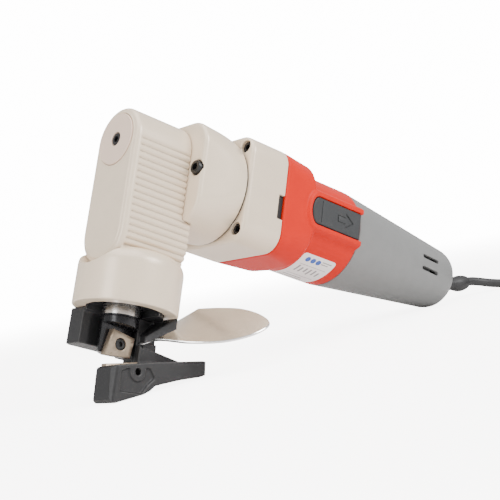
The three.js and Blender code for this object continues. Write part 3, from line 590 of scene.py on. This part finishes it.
# ---- head ------------------------------------------------------------------------------------------
HEAD_FRONT, HEAD_REAR, HEAD_HALF, HEAD_FILLET = 23.5, -16.0, 19.5, 3.3
CRANK_Z, PAD_LOW_Z = 9.7, -44.2
SHOULDER_REAR, SHOULDER_TOP = -22.4, -30.0
SLEEVE_R, SLEEVE_TOP, SLEEVE_BOTTOM = 29.85, -62.5, -85.3
SLEEVE_ROUND = 9.0
RIB_PITCH, RIB_DEPTH = 3.9, 1.5
RAM_X, RAM_R = 2.0, 10.5
CAP_R = 15.3
CRANK_BORE_R = 14
AXIS = (0, 0, 0)
CRANK = (0, 0, CRANK_Z)
RAM = (RAM_X, 0, 0)


def smoothstep(t):
    t = min(1, max(0, t))
    return t * t * (3 - 2 * t)


def stadium(half):
    """Outline of the head in Y and Z."""
    return arc(0, CRANK_Z, half, 0, TAU / 2, 24) + arc(0, PAD_LOW_Z, half, TAU / 2, TAU, 24)


def make_head():
    """Head block whose flanks and lower round end carry ribs along X, joined to the round sleeve."""
    # each point of the outline: y, z, outward normal in y and z, distance below the crank along the outline
    quarter = [(HEAD_HALF * math.sin(a), CRANK_Z + HEAD_HALF * math.cos(a), math.sin(a), math.cos(a),
                a * HEAD_HALF - TAU / 4 * HEAD_HALF)
               for a in (TAU / 4 * i / 24 for i in range(24))]
    tall = CRANK_Z - PAD_LOW_Z
    count = int(tall / 0.3)
    flank = [(HEAD_HALF, CRANK_Z - tall * i / count, 1, 0, tall * i / count) for i in range(count)]
    low = [(HEAD_HALF * math.cos(a), PAD_LOW_Z - HEAD_HALF * math.sin(a), math.cos(a), -math.sin(a),
            tall + a * HEAD_HALF)
           for a in (TAU / 4 * i / 70 for i in range(70))]
    side = [*quarter, *flank, *low, (0, PAD_LOW_Z - HEAD_HALF, 0, -1, tall + TAU / 4 * HEAD_HALF)]
    far = [(-y, z, -ny, nz, s) for y, z, ny, nz, s in side[1:-1]][::-1]
    outline = [*side, *far]

    def groove(s):
        wave = 1 - abs(math.sin(math.pi * (s - 1.2) / RIB_PITCH))
        fade = smoothstep((s + 4.0) / 8) * smoothstep((tall + 25 - s) / 6)
        return RIB_DEPTH * fade * wave ** 1.5

    def ring(x, inset, rib, rear=False):
        out = []
        for y, z, ny, nz, s in outline:
            depth = inset + rib * groove(s)
            at = x
            if rear:
                at = x + (SHOULDER_REAR - x) * smoothstep((SHOULDER_TOP + 0.6 - z) / 1.2)
            out.append((at, y - ny * depth, z - nz * depth))
        return out

    face = HEAD_FRONT - HEAD_FILLET
    rings = [ring(HEAD_REAR, 0, 1, True), ring(-10, 0, 1), ring(0, 0, 1), ring(10, 0, 1),
             ring(face - 2.2, 0, 1), ring(face - 1.6, 0, 0.8), ring(face - 1.0, 0, 0.3),
             ring(face - 0.6, 0, 0)]
    for i in range(7):
        a = TAU / 4 * i / 6
        inset = (HEAD_FILLET - 0.4) * (1 - math.cos(a))
        rings.append(ring(face + (HEAD_FILLET - 0.5) * math.sin(a), inset, 0))
    rings += [ring(HEAD_FRONT - 0.4, HEAD_FILLET - 0.3, 0), ring(HEAD_FRONT, HEAD_FILLET - 0.05, 0)]
    # the outline starts at the top and is mirrored about y = 0, so strips close it
    n = len(outline)
    verts = [v for r in rings for v in r]
    faces = [(s * n + i, s * n + (i + 1) % n, (s + 1) * n + (i + 1) % n, (s + 1) * n + i)
             for s in range(len(rings) - 1) for i in range(n)]
    half = n // 2
    for base in (0, (len(rings) - 1) * n):
        faces += [(base + i, base + i + 1, base + n - i - 1, base + n - i) for i in range(1, half - 1)]
        faces.append((base, base + 1, base + n - 1))
        faces.append((base + half - 1, base + half, base + half + 1))
    head = new_object("head_casting", verts, faces)
    shoulder = arc(SLEEVE_R - SLEEVE_ROUND, 0, SLEEVE_ROUND, 0, TAU / 4, 8)
    sleeve = revolve("sleeve", "z", AXIS, [
        (SLEEVE_BOTTOM, 0), (SLEEVE_BOTTOM, SLEEVE_R - 0.5), (SLEEVE_BOTTOM + 0.5, SLEEVE_R),
        *[(SLEEVE_TOP + z, r) for r, z in shoulder], (SLEEVE_TOP + SLEEVE_ROUND, 0)], 128)
    cut(sleeve, prism("t", "x", stadium(HEAD_HALF + 1.0), HEAD_FRONT - HEAD_FILLET, SLEEVE_R + 2))
    join(head, sleeve)
    cut(
        head,
        rod("t", "z", RAM, SLEEVE_BOTTOM - 1, 26, RAM_R + 0.4, 64),
        rod("t", "z", AXIS, SLEEVE_BOTTOM - 1, SLEEVE_BOTTOM + 14, 22, 96),
        rod("t", "x", CRANK, SHOULDER_REAR - 2, HEAD_FRONT - 5, CRANK_BORE_R, 64),
        rod("t", "x", CRANK, HEAD_FRONT - 1, HEAD_FRONT + 1, CAP_R + 0.3, 96),
        rod("t", "x", CRANK, HEAD_FRONT - 6, HEAD_FRONT + 1, 3.9, 32),
    )
    cast(head, 0.36, 2, 0.22)
    finish_piece(head, CAST, replaces=("head_housing",), angle=60)

    cap = revolve("cap_disc", "x", CRANK, [
        (HEAD_FRONT - 0.6, 4.1), (HEAD_FRONT - 0.6, CAP_R), (HEAD_FRONT + 0.25, CAP_R),
        (HEAD_FRONT + 0.55, CAP_R - 0.3), (HEAD_FRONT + 0.55, 4.5), (HEAD_FRONT + 0.25, 4.1)], 96)
    finish_piece(cap, PAD, replaces=("front_cap",))


def socket_screw(name, axis, centre, end, radius, long, hexagon, replaces, body="tool"):
    """Cap screw with a bevelled rim and a hexagon socket; its head ends at end and points along the axis."""
    rim = radius * 0.1
    screw = revolve(name, axis, centre, [
        (end - long, 0), (end - long, radius), (end - rim, radius), (end - rim * 0.3, radius - rim * 0.3),
        (end, radius - rim), (end, 0)])
    socket = rod("t", axis, centre, end - long * 0.62, end + 1, hexagon, 6)
    cut(screw, socket)
    finish_piece(screw, SCREW, body=body, replaces=replaces, angle=30)
    return screw


make_head()
socket_screw("cap_screw", "x", CRANK, HEAD_FRONT + 0.1, 3.6, 4.5, 2.0, ("front_cap_screw",))


# ---- ram and blades --------------------------------------------------------------------------------
BLADE_SCREW = (RAM_X - 0.8, 0, -104.2)
CRANK_BEARING_R, STROKE, GAP = 5, 3, 0.3


def make_ram():
    window = CRANK_BEARING_R + STROKE + STROKE + GAP
    shaft = revolve("ram_shaft", "z", RAM, [
        (-110, 0), (-110, RAM_R - 0.5), (-109.5, RAM_R), (-90.3, RAM_R), (-89.7, RAM_R - 0.5),
        (-89.1, RAM_R - 0.5), (-89.1, RAM_R), (22.0, RAM_R), (22.6, RAM_R - 0.6), (22.6, 0)], 96)
    cut(
        shaft,
        block("t", (-20, RAM_X + 6.4), (-20, 20), (CRANK_Z - window, CRANK_Z + window)),
        prism("t", "y", [(-30, -97.5), (30, -92), (30, -130), (-30, -130)], -2, 20),
        rod("t", "y", BLADE_SCREW, -8, 5, 2.0, 24),
    )
    bevel(shaft, 0.35, 2, 40)
    finish_piece(shaft, BLACK_STEEL, "ram", ("ram",))

    band = revolve("ram_band", "z", RAM, [
        (-89.0, RAM_R - 0.2), (-89.0, RAM_R + 0.12), (-82.0, RAM_R + 0.12), (-82.0, RAM_R - 0.2)], 96)
    finish_piece(band, BRIGHT, "ram")

    tile = prism("blade_tile", "y", [(7.2, -96.6), (10.6, -111.8), (-6.3, -110.6), (-7.6, -99.3)], -1.7, 2.4)
    cut(
        tile,
        rod("t", "y", BLADE_SCREW, 0, 10, 3.5, 48),
        rod("t", "y", BLADE_SCREW, -5, 10, 2.1, 32),
    )
    bevel(tile, 0.3, 2, 40)
    finish_piece(tile, BLADE, "ram", ("upper_blade",))
    socket_screw("blade_screw", "y", BLADE_SCREW, 2.1, 3.15, 2.0, 1.6, ("upper_blade_screw",), "ram")


make_ram()

# ---- yoke and lower jaw ----------------------------------------------------------------------------
BLADE_PLANE = 2.7
JAW_NEAR = 19.5
JAW_SCREW = (-1.2, 0, -119.8)
STRIP_THICK = 4.6
FLOOR = -258.9 * math.sin(TILT) - 20.4 * math.cos(TILT)


def floor_z(x, lift=0.0):
    return (FLOOR + lift - x * math.sin(TILT)) / math.cos(TILT)


PLATE_ROOT = Vector((-10.5, 4, -101.4))
PLATE_RISE, PLATE_ROLL = math.radians(37.3), math.radians(20)
PLATE_THICK = 1.5
LEAF = [(0, -1), (9, 5), (16, 23), (27, 39), (42, 48), (55, 48), (61, 37), (61, 22), (55, 9), (48, -1)]


def plate_point(u, v, lift):
    along = Vector((-math.cos(PLATE_RISE), 0, math.sin(PLATE_RISE)))
    up = Vector((math.sin(PLATE_RISE), 0, math.cos(PLATE_RISE)))
    across = Vector((0, math.cos(PLATE_ROLL), 0)) - up * math.sin(PLATE_ROLL)
    normal = across.cross(along)
    if normal.z < 0:
        normal.negate()
    return PLATE_ROOT + along * u + across * v + normal * lift


def resampled(points, step):
    flat = smooth_line([(u, v, 0) for u, v in points], step)
    return [(p.x, p.y) for p in flat]


def make_plate():
    outline = resampled(LEAF, 1.2)
    middle = [sum(c) / len(outline) for c in zip(*outline)]
    rings = []
    for lift, shrink in ((-PLATE_THICK, 0.4), (-PLATE_THICK + 0.35, 0), (-0.35, 0), (0, 0.4)):
        ring = []
        for u, v in outline:
            away = Vector((u - middle[0], v - middle[1]))
            s = 1 - shrink / away.length
            ring.append(tuple(plate_point(middle[0] + away.x * s, middle[1] + away.y * s, lift)))
        rings.append(ring)
    plate = loft("leaf_plate", rings)
    finish_piece(plate, POLISHED, replaces=("deflector_plate",), angle=30)


make_plate()


def make_yoke():
    top = SLEEVE_BOTTOM - GAP
    spigot = rod("yoke_casting", "z", AXIS, SLEEVE_BOTTOM - 2.2, SLEEVE_BOTTOM + 11, 21.7, 96)
    outline = [(19, -25), (19, -12.5), (10, -10), (-20, -10), (-20, -20), (-12, -27), (16, -27)]
    cheek = prism("t", "z", outline, -106, top)
    column = block("t", (-22, -9), (-17, 2), (-109, SLEEVE_BOTTOM - 1))
    outline = [(-9, -103), (-9, -118), (-15, -122), (-42, -114), (-43, -107)]
    web = prism("t", "y", outline, -0.5, BLADE_PLANE + 4)
    strut = loft("t", [
        [(-11, -6, -101.3), (-11, 7, -102), (-11, 7, -97.5), (-11, -6, -96.5)],
        [(-21, 6, -92), (-21, 22, -92.5), (-21, 22, top), (-21, 6, top)]])
    outline = [(-4, -117.5), *[(x, floor_z(x, 0.2)) for x in (-4, -20, -24)], (-24, -118), (-9.5, -116.5)]
    heel = prism("t", "y", outline, -14, BLADE_PLANE + 1)
    heel_column = block("t", (-22, -13), (-14, 4), (floor_z(-22, 0.4), -100))
    sole = [(x, floor_z(x, lift)) for x, lift in ((13.9, 2.6), (12.4, 0.7), (10.5, 0.1), (-7, 0.1))]
    side = [(12.9, -118.9), (14.6, -120.3), (14.6, -124), *sole, (-11, -128.4), (-14, -125.2),
            (-20, -122.8), (-30, -118.9), (-44, -114.4), (-47.3, -112.8), (-46.4, -105), (-44.5, -105),
            (-9.5, -113), (10, -118)]
    jaw = prism("t", "y", side, BLADE_PLANE, JAW_NEAR)
    nose = [(x, JAW_NEAR + y) for x, y in ((9, 2), (13, -0.8), (14.8, -4), (18, -4), (20, 2))]
    cut(
        jaw,
        prism("t", "z", nose, -140, -100),
        prism("t", "z", [(-60, 12), (-60, 0), (-13, 0), (-13, BLADE_PLANE + 0.5)], -140, -90),
    )
    join(spigot, cheek, column, web, strut, heel, heel_column, jaw)
    sunk = [(9.6, -121.4), (8.6, -132.0), (-5.4, -131.0), (-8.6, -125.6), (-12.8, -121.0), (-9.0, -116.6),
            (-2, -117.4), (6, -119.4)]
    panel = prism("t", "y", sunk, JAW_NEAR - 1.3, JAW_NEAR + 3)
    cut(panel, rod("t", "y", JAW_SCREW, JAW_NEAR - 3, JAW_NEAR + 5, 5.2, 48))
    corners = ((-2, -1.6), (70, -1.6), (70, 60), (-2, 60))
    plate_room = loft("t", [[tuple(plate_point(u, v, lift)) for u, v in corners]
                            for lift in (GAP, -PLATE_THICK - GAP)])
    strip_room = [(12.5, -110), (12.5, -126.8), (-9, -121.8), (-9, -110)]
    cut(
        spigot,
        rod("t", "z", RAM, -121, -70, RAM_R + 0.6, 64),
        block("t", (-9.3, 40), (-11.2, BLADE_PLANE - GAP), (-119, SLEEVE_BOTTOM - 3)),
        block("t", (-9.3, 40), (-9.8, 40), (SLEEVE_BOTTOM - 3, SLEEVE_BOTTOM + 2.5)),
        prism("t", "y", strip_room, BLADE_PLANE - 1, BLADE_PLANE + STRIP_THICK + GAP),
        rod("t", "y", JAW_SCREW, -20, 40, 1.9, 32),
        panel,
        plate_room,
    )
    cast(spigot, 0.42, 5, 0.5)
    finish_piece(keep_largest(spigot), CAST_BLACK, replaces=("yoke",), angle=60)

    outline = [(12, -117.3), (12, -126.2), (-8.5, -121.4), (-8.5, -112.6)]
    strip = prism("lower_strip", "y", outline, BLADE_PLANE, BLADE_PLANE + STRIP_THICK)
    cut(strip, rod("t", "y", JAW_SCREW, -20, 40, 2.1, 24))
    bevel(strip, 0.3, 2, 40)
    finish_piece(strip, BLADE, replaces=("lower_blade",))
    screw = rod("jaw_screw", "y", JAW_SCREW, BLADE_PLANE + 0.5, JAW_NEAR - 3.5, 1.7, 24, 0.2)
    finish_piece(screw, SCREW, replaces=("lower_blade_screw",))


def keep_largest(obj):
    """Keeps the largest connected body of a mesh."""
    bm = bmesh.new()
    bm.from_mesh(obj.data)
    left, best = set(bm.verts), []
    while left:
        seed = left.pop()
        group, stack = [seed], [seed]
        while stack:
            for e in stack.pop().link_edges:
                for v in e.verts:
                    if v in left:
                        left.remove(v)
                        group.append(v)
                        stack.append(v)
        if len(group) > len(best):
            best = group
    chosen = set(best)
    bmesh.ops.delete(bm, geom=[v for v in bm.verts if v not in chosen], context="VERTS")
    bm.to_mesh(obj.data)
    bm.free()
    return obj


make_yoke()

# ---- neck and gear case ----------------------------------------------------------------------------
NECK_REAR, NECK_HALF, NECK_SEAM_R = -49.0, 31.0, 32.9
CASE_FRONT, CASE_REAR, CASE_HALF, CASE_CORNER = -49.9, -79.6, 33.0, 12.0
GEAR_ROOM_R, BEARING_SEAT_R = 25, 13.3
SCREW_OFFSET = 25.6
SPOTS = [(1, 1, "near_top"), (1, -1, "near_low"), (-1, 1, "far_top"), (-1, -1, "far_low")]


def at_spots(start, end, radius, count):
    """One cutting rod for each of the four case screws."""
    centres = [(0, y * SCREW_OFFSET, z * SCREW_OFFSET) for y, z, _ in SPOTS]
    return [rod("t", "x", centre, start, end, radius, count) for centre in centres]


def neck_screw_at(side):
    return (0, side * 25.6, 1)


def make_neck():
    steps = 14
    rings = []
    front = HEAD_REAR - 0.3
    for i in range(5):
        a = TAU / 4 * i / 4
        inset = 2.2 * (1 - math.sin(a))
        rings.append(at_x(rounded(NECK_HALF - inset, 15 - inset, steps), front - 2.2 * (1 - math.cos(a))))
    for i in range(1, 13):
        t = i / 12
        half = NECK_HALF + (NECK_SEAM_R - NECK_HALF) * smoothstep(t)
        corner = 15 + (NECK_SEAM_R - 0.2 - 15) * t ** 1.4
        rings.append(at_x(rounded(half, corner, steps), front - 2.2 + (NECK_REAR - front + 2.2) * t))
    neck = loft("neck_casting", rings)
    wide = HEAD_HALF + GAP
    cut(
        neck,
        block("t", (SHOULDER_REAR - GAP, HEAD_REAR + 1), (-wide, wide), (-60, SHOULDER_TOP + GAP)),
        rod("t", "x", AXIS, -60, -40, GEAR_ROOM_R, 64),
        rod("t", "x", CRANK, -41.5, HEAD_REAR + 1, CRANK_BORE_R, 64),
        *[rod("t", "x", neck_screw_at(s), HEAD_REAR - 4, HEAD_REAR + 1, 4.7, 48) for s in (-1, 1)],
        *[rod("t", "x", neck_screw_at(s), -32, HEAD_REAR, 2.4, 24) for s in (-1, 1)],
    )
    cast(neck, 0.5, 3, 0.4)
    finish_piece(neck, CAST, replaces=("neck_housing",), angle=60)
    for side, word in ((1, "near"), (-1, "far")):
        centre, stands_for = neck_screw_at(side), ("neck_screw_" + word,)
        socket_screw("neck_cap_screw_" + word, "x", centre, HEAD_REAR + 1.2, 4.0, 4.6, 2.3, stands_for)
    low, high = CASE_FRONT + 0.1, NECK_REAR - 0.1
    inner, outer = GEAR_ROOM_R + 1, NECK_SEAM_R - 0.5
    # gasket ring in near-black: its own dark colour plus painted shade of the gap at the seam
    seal = revolve("neck_seal", "x", AXIS, [(low, inner), (low, outer), (high, outer), (high, inner)], 128)
    finish_piece(seal, GASKET_AND_SHADE_BLACK, replaces=("neck_gasket",))


def make_case():
    steps = 14
    rings = []
    front = CASE_FRONT - 0.2
    for i in range(6):
        a = TAU / 4 * i / 5
        inset = 2.8 * (1 - math.sin(a))
        outline = rounded(CASE_HALF - inset, CASE_CORNER - inset * 0.7, steps)
        rings.append(at_x(outline, front - 2.6 * (1 - math.cos(a))))
    rings.append(at_x(rounded(CASE_HALF, CASE_CORNER, steps), CASE_REAR + 0.2))
    rings.append(at_x(rounded(CASE_HALF - 0.3, CASE_CORNER, steps), CASE_REAR))
    case = loft("case_casting", rings)
    cut(
        case,
        rod("t", "x", AXIS, -76, CASE_FRONT + 1, GEAR_ROOM_R, 64),
        rod("t", "x", CRANK, -63.5, CASE_FRONT + 1, 17.8, 64),
        rod("t", "x", AXIS, CASE_REAR - 1, -74, BEARING_SEAT_R, 64),
        block("t", (CASE_REAR - 1, CASE_REAR + 4.6), (CASE_HALF - 2.5, CASE_HALF + 1), (-13, 2)),
        *at_spots(CASE_FRONT - 6.2, CASE_FRONT + 1, 3.9, 48),
        *at_spots(CASE_REAR - 1, CASE_FRONT, 2.5, 24),
    )
    cast(case, 0.45, 2, 0.4)
    finish_piece(case, CAST, replaces=("gear_case",), angle=60)
    for sy, sz, word in SPOTS:
        centre = (0, sy * SCREW_OFFSET, sz * SCREW_OFFSET)
        stands_for = ("case_screw_" + word,)
        socket_screw("case_cap_screw_" + word, "x", centre, CASE_FRONT - 2.0, 3.5, 4.0, 1.9, stands_for)
    deep = (CASE_HALF - 2.7, CASE_HALF - 1.6)
    # dark block at the bottom of the slot: painted shade standing in for the shadow inside the slot
    slot_shade = block("case_slot_painted_shade", (CASE_REAR + 0.1, CASE_REAR + 4.5), deep, (-12.9, 1.9))
    finish_piece(bevel(slot_shade, 0.15), GASKET_AND_SHADE_BLACK)


make_neck()
make_case()

# ---- motor housing ---------------------------------------------------------------------------------
MOTOR_FRONT, COLLAR_REAR, MOTOR_REAR = -79.9, -103.0, -147.5
BARREL_R, FRAME_TOP = 32.35, 34.6
SWITCH_FRONT, SWITCH_REAR, SWITCH_HALF, SWITCH_Z = -102.5, -145.5, 8.5, 1.5


def pill(front, half, rear, steps=20, bulge=0.62):
    deep = half * bulge
    out = [(front - deep + deep * math.cos(a), SWITCH_Z + half * math.sin(a))
           for a in (-TAU / 4 + TAU / 2 * i / steps for i in range(steps + 1))]
    return [(rear, SWITCH_Z - half), *out, (rear, SWITCH_Z + half)]


def make_motor_housing():
    steps = 14
    rings = [at_x(rounded(CASE_HALF - 0.5, CASE_CORNER, steps), MOTOR_FRONT),
             at_x(rounded(CASE_HALF, CASE_CORNER + 0.3, steps), MOTOR_FRONT - 0.6)]
    for i in range(1, 9):
        t = i / 8
        x = MOTOR_FRONT - 0.6 + (COLLAR_REAR - MOTOR_FRONT + 0.6) * t
        rings.append(at_x(rounded(CASE_HALF, CASE_CORNER + 6 * t, steps), x))
    for i in range(1, 9):
        t = i / 8
        ease = smoothstep(t)
        half = CASE_HALF + (BARREL_R - CASE_HALF) * ease
        corner = CASE_CORNER + 6 + (BARREL_R - 0.2 - CASE_CORNER - 6) * ease
        rings.append(at_x(rounded(half, corner, steps), COLLAR_REAR - 7 * t))
    rings.append(at_x(rounded(BARREL_R, BARREL_R - 0.2, steps), MOTOR_REAR + 0.3))
    rings.append(at_x(rounded(BARREL_R - 0.3, BARREL_R - 0.5, steps), MOTOR_REAR))
    shell = loft("motor_shell", rings)
    frame_lift = loft("t", [
        [(x, y, z) for x, z in pill(SWITCH_FRONT + front, SWITCH_HALF + half, MOTOR_REAR)]
        for front, half, y in ((7, 7, 26.0), (4.0, 4.6, 33.0), (2.6, 3.2, FRAME_TOP))])
    join(shell, frame_lift)
    cut(
        shell,
        rod("t", "x", AXIS, MOTOR_REAR - 1, -94, BARREL_R - 3, 96),
        rod("t", "x", AXIS, -95, MOTOR_FRONT + 1, BEARING_SEAT_R, 64),
        prism("t", "y", pill(SWITCH_FRONT + 0.5, SWITCH_HALF + 0.5, MOTOR_REAR - 1), 32.3, 50),
        block("t", (-136, -113), (24, 50), (SWITCH_Z - 3.5, SWITCH_Z + 3.5)),
        *at_spots(-86, MOTOR_FRONT + 1, 2.5, 24),
    )
    cast(shell, 0.45, 4, 0.4)
    finish_piece(shell, ORANGE, replaces=("motor_housing",), angle=60)


def make_slider():
    top = FRAME_TOP - 0.1
    shapes = [(0.2, BARREL_R + 0.3), (0, BARREL_R + 0.6), (0, top - 0.9), (0.25, top - 0.35), (0.8, top)]
    rings = [[(x, y, z) for x, z in pill(SWITCH_FRONT - inset, SWITCH_HALF - inset, SWITCH_REAR + inset)]
             for inset, y in shapes]
    slab = loft("slide_button", rings)
    groove = block("t", (-110.6, -110.1), (top - 0.4, top + 1), (SWITCH_Z - 7.0, SWITCH_Z + 7.0))
    well = prism("t", "y", arrow_outline(1.0), top - 0.55, top + 1)
    cut(slab, groove, well)
    mark = prism("t", "y", arrow_outline(0.82), top - 0.8, top - 0.1)
    join(slab, mark)
    stem = block("t", (-128, -115), (27.2, BARREL_R + 1), (SWITCH_Z - 3, SWITCH_Z + 3))
    join(slab, stem)
    bevel(slab, 0.14, 2, 40)
    finish_piece(slab, SLATE, "slider", ("switch_slider",), angle=30)


def arrow_outline(size):
    """Plump arrow that points rearwards, about the middle of the slide button."""
    middle = (-131.0, SWITCH_Z)
    shape = [(7, 2.2), (-0.6, 2.2), (-0.6, 4.9), (-8, 0), (-0.6, -4.9), (-0.6, -2.2), (7, -2.2)]
    return [(middle[0] + x * size, middle[1] + z * size) for x, z in shape]


def wrapped(name, x_range, angles, base, top, corner, mat, slot):
    """Thin closed piece on the barrel: x_range and corner radius in mm, angles about X in degrees."""
    mid_r = (base + top) / 2
    a0, a1 = (math.radians(a) for a in angles)
    tall = abs(a1 - a0) * mid_r
    n, m = 36, 12
    verts, faces = [], []
    for lift in (base, top):
        for i in range(n + 1):
            t = (1 - math.cos(math.pi * i / n)) / 2
            v = t * tall
            near = min(v, tall - v)
            short = corner - math.sqrt(max(0, corner ** 2 - (corner - min(near, corner)) ** 2))
            a = a0 + (a1 - a0) * t
            for j in range(m + 1):
                x = x_range[0] + short + (x_range[1] - x_range[0] - 2 * short) * j / m
                verts.append((x, lift * math.cos(a), lift * math.sin(a)))
    size = (n + 1) * (m + 1)
    for layer in (0, size):
        for i in range(n):
            for j in range(m):
                k = layer + i * (m + 1) + j
                faces.append((k, k + 1, k + m + 2, k + m + 1))
    rim = [j for j in range(m + 1)] + [i * (m + 1) + m for i in range(1, n + 1)]
    rim += [n * (m + 1) + j for j in range(m - 1, -1, -1)] + [i * (m + 1) for i in range(n - 1, 0, -1)]
    for k, q in zip(rim, rim[1:] + rim[:1]):
        faces.append((k, q, q + size, k + size))
    obj = new_object(name, verts, faces)
    return finish_piece(obj, mat)


LABEL_X = (-139.2, -110.6)
LABEL_ANGLES = (-45, -118)


def make_label():
    """Blank label with round dots and grey bars, as generic print."""
    paper = BARREL_R + 0.12
    wrapped("label", LABEL_X, LABEL_ANGLES, BARREL_R - 0.15, paper, 2.4, PAPER, "cast_paint")
    per_degree = math.radians(1) * BARREL_R
    ink = (paper - 0.05, paper + 0.04)

    def dot(name, x, angle, radius, mat, slot):
        half = radius / per_degree
        wrapped(name, (x - radius, x + radius), (angle + half, angle - half), *ink, radius, mat, slot)

    def bar(name, x0, x1, angle, tall):
        half = tall / 2 / per_degree
        wrapped(name, (x0, x1), (angle + half, angle - half), *ink, 0.2, PRINT_GREY, "slate_plastic")

    for k, x in enumerate((-116.6, -121.2, -125.8)):
        dot(f"label_dot_{k}", x, -52.5, 1.95, PRINT_BLUE, "slate_plastic")
    bar("label_bar_0", -136.6, -128.6, -50, 0.7)
    bar("label_bar_1", -134.4, -128.6, -53, 0.7)
    bar("label_bar_2", -136.6, -114.0, -61, 0.35)
    for k in range(6):
        x = -115.0 - k * 3.6
        bar(f"label_mark_{k}", x - 1.4, x, -69 - (k % 2) * 1.5, 6.5 - (k % 3))
    bar("label_bar_3", -136.6, -114.0, -83, 0.35)
    bar("label_bar_4", -130.0, -114.0, -89, 0.9)
    bar("label_bar_5", -133.0, -114.0, -95, 0.9)


make_motor_housing()
make_slider()
make_label()

# ---- tail ------------------------------------------------------------------------------------------
TAIL_X, TAIL_R, TAIL_END = -253.9, 22.0, -266.0
VENTS = (4.5, -3.8)


def tail_radius(t):
    """Outside radius between the joint (t = 0) and the start of the round end (t = 1)."""
    return BARREL_R + (TAIL_R - BARREL_R) * t


def make_tail():
    front = MOTOR_REAR - 0.3
    outer = [(front, BARREL_R - 0.35), (front - 0.35, BARREL_R)]
    outer += [(front + (TAIL_X - front) * i / 16, tail_radius(i / 16)) for i in range(1, 16)]
    outer += [(TAIL_X, TAIL_R), (TAIL_X - 2.6, TAIL_R - 0.6), (TAIL_X - 5, TAIL_R - 1.6),
              (TAIL_X - 7.2, TAIL_R - 3.3), (TAIL_X - 9, TAIL_R - 5.5), (TAIL_X - 10.6, TAIL_R - 8.4),
              (TAIL_X - 11.6, TAIL_R - 11), (TAIL_END, TAIL_R - 13.6)]
    inner = [(TAIL_END + 3, 6.6), (TAIL_X - 6, TAIL_R - 7), (TAIL_X, TAIL_R - 3), (front, BARREL_R - 3)]
    shell = revolve("tail_shell", "x", AXIS, [*outer, (TAIL_END, 6.6), *inner], 160)
    for side in (1, -1):
        for k, z in enumerate(VENTS):
            y = (12, 40) if side > 0 else (-40, -12)
            slot = rounded(9.5, 1.35, 8, 1.35)
            cut(shell, prism("t", "y", [(-229.5 + u, z + v) for u, v in slot], *y))
    shell = bevel(shell, 0.25, 2, 50)
    finish_piece(shell, GREY, replaces=("rear_housing",), angle=30)


make_tail()

# ---- floor and light -------------------------------------------------------------------------------
SKY = (1.0, 0.995, 0.992)
SKY_LIGHT = 0.85  # strength by which the backdrop lights the object
SKY_SEEN = 15.0  # strength by which the camera sees it, so that it is white
FLOOR_LIFT = 6.0  # how much the floor is lightened for the camera


def make_stage():
    world = bpy.data.worlds.new("studio")
    world.use_nodes = True
    tree = world.node_tree
    lit = tree.nodes["Background"]
    lit.inputs["Color"].default_value = (*SKY, 1)
    lit.inputs["Strength"].default_value = SKY_LIGHT
    seen = tree.nodes.new("ShaderNodeBackground")
    seen.inputs["Color"].default_value = (*SKY, 1)
    seen.inputs["Strength"].default_value = SKY_SEEN
    ray = tree.nodes.new("ShaderNodeLightPath")
    pick = tree.nodes.new("ShaderNodeMixShader")
    tree.links.new(ray.outputs["Is Camera Ray"], pick.inputs[0])
    tree.links.new(lit.outputs[0], pick.inputs[1])
    tree.links.new(seen.outputs[0], pick.inputs[2])
    tree.links.new(pick.outputs[0], tree.nodes["World Output"].inputs["Surface"])
    bpy.context.scene.world = world

    floor = revolve("floor", "z", (0, 0, 0), [(-20, 0), (-20, 30000), (-0.2, 30000), (-0.2, 0)], 96, ROW)
    mat = bpy.data.materials.new("floor")
    mat.use_nodes = True
    tree = mat.node_tree
    new, link = tree.nodes.new, tree.links.new
    shader = tree.nodes["Principled BSDF"]
    shader.inputs["Base Color"].default_value = (0.93, 0.91, 0.90, 1)
    shader.inputs["Roughness"].default_value = 0.55
    ray = new("ShaderNodeLightPath").outputs["Is Camera Ray"]

    def seen_glow(color, low, high):
        """Emission of one strength for other rays and another for the camera's."""
        glow = new("ShaderNodeEmission")
        glow.inputs["Color"].default_value = (*color, 1)
        span = new("ShaderNodeMapRange")
        span.inputs["To Min"].default_value = low
        span.inputs["To Max"].default_value = high
        link(ray, span.inputs["Value"])
        link(span.outputs["Result"], glow.inputs["Strength"])
        return glow.outputs[0]

    near = new("ShaderNodeAddShader")
    link(shader.outputs[0], near.inputs[0])
    link(seen_glow((1, 0.985, 0.975), 0, FLOOR_LIFT), near.inputs[1])
    blend = new("ShaderNodeMixShader")
    where = new("ShaderNodeTexCoord")
    distance = new("ShaderNodeVectorMath")
    distance.operation = "LENGTH"
    link(where.outputs["Object"], distance.inputs[0])
    fade = new("ShaderNodeMapRange")
    fade.interpolation_type = "SMOOTHSTEP"
    fade.inputs["From Min"].default_value = 0.35
    fade.inputs["From Max"].default_value = 1.6
    link(distance.outputs["Value"], fade.inputs["Value"])
    link(fade.outputs["Result"], blend.inputs[0])
    link(near.outputs[0], blend.inputs[1])
    link(seen_glow(SKY, SKY_LIGHT, SKY_SEEN), blend.inputs[2])
    link(blend.outputs[0], tree.nodes["Material Output"].inputs["Surface"])
    floor.data.materials.append(mat)


def area_light(name, place, target, size, power, tint=(1, 1, 1)):
    data = bpy.data.lights.new(name, "AREA")
    data.shape = "RECTANGLE"
    data.size, data.size_y = size
    data.energy = power
    data.color = tint
    light = bpy.data.objects.new(name, data)
    light.location = place
    light.rotation_euler = (Vector(target) - Vector(place)).to_track_quat("-Z", "Y").to_euler()
    bpy.context.scene.collection.objects.link(light)


make_stage()
area_light("top", (0.1, 0.2, 1.3), (0, 0, 0.05), (1.2, 1.2), 15)
area_light("key", (-0.5, 1.1, 0.75), (0, 0, 0.08), (0.6, 0.6), 17)
area_light("front", (1.1, 0.25, 0.5), (0.1, 0, 0.08), (0.4, 0.8), 7)
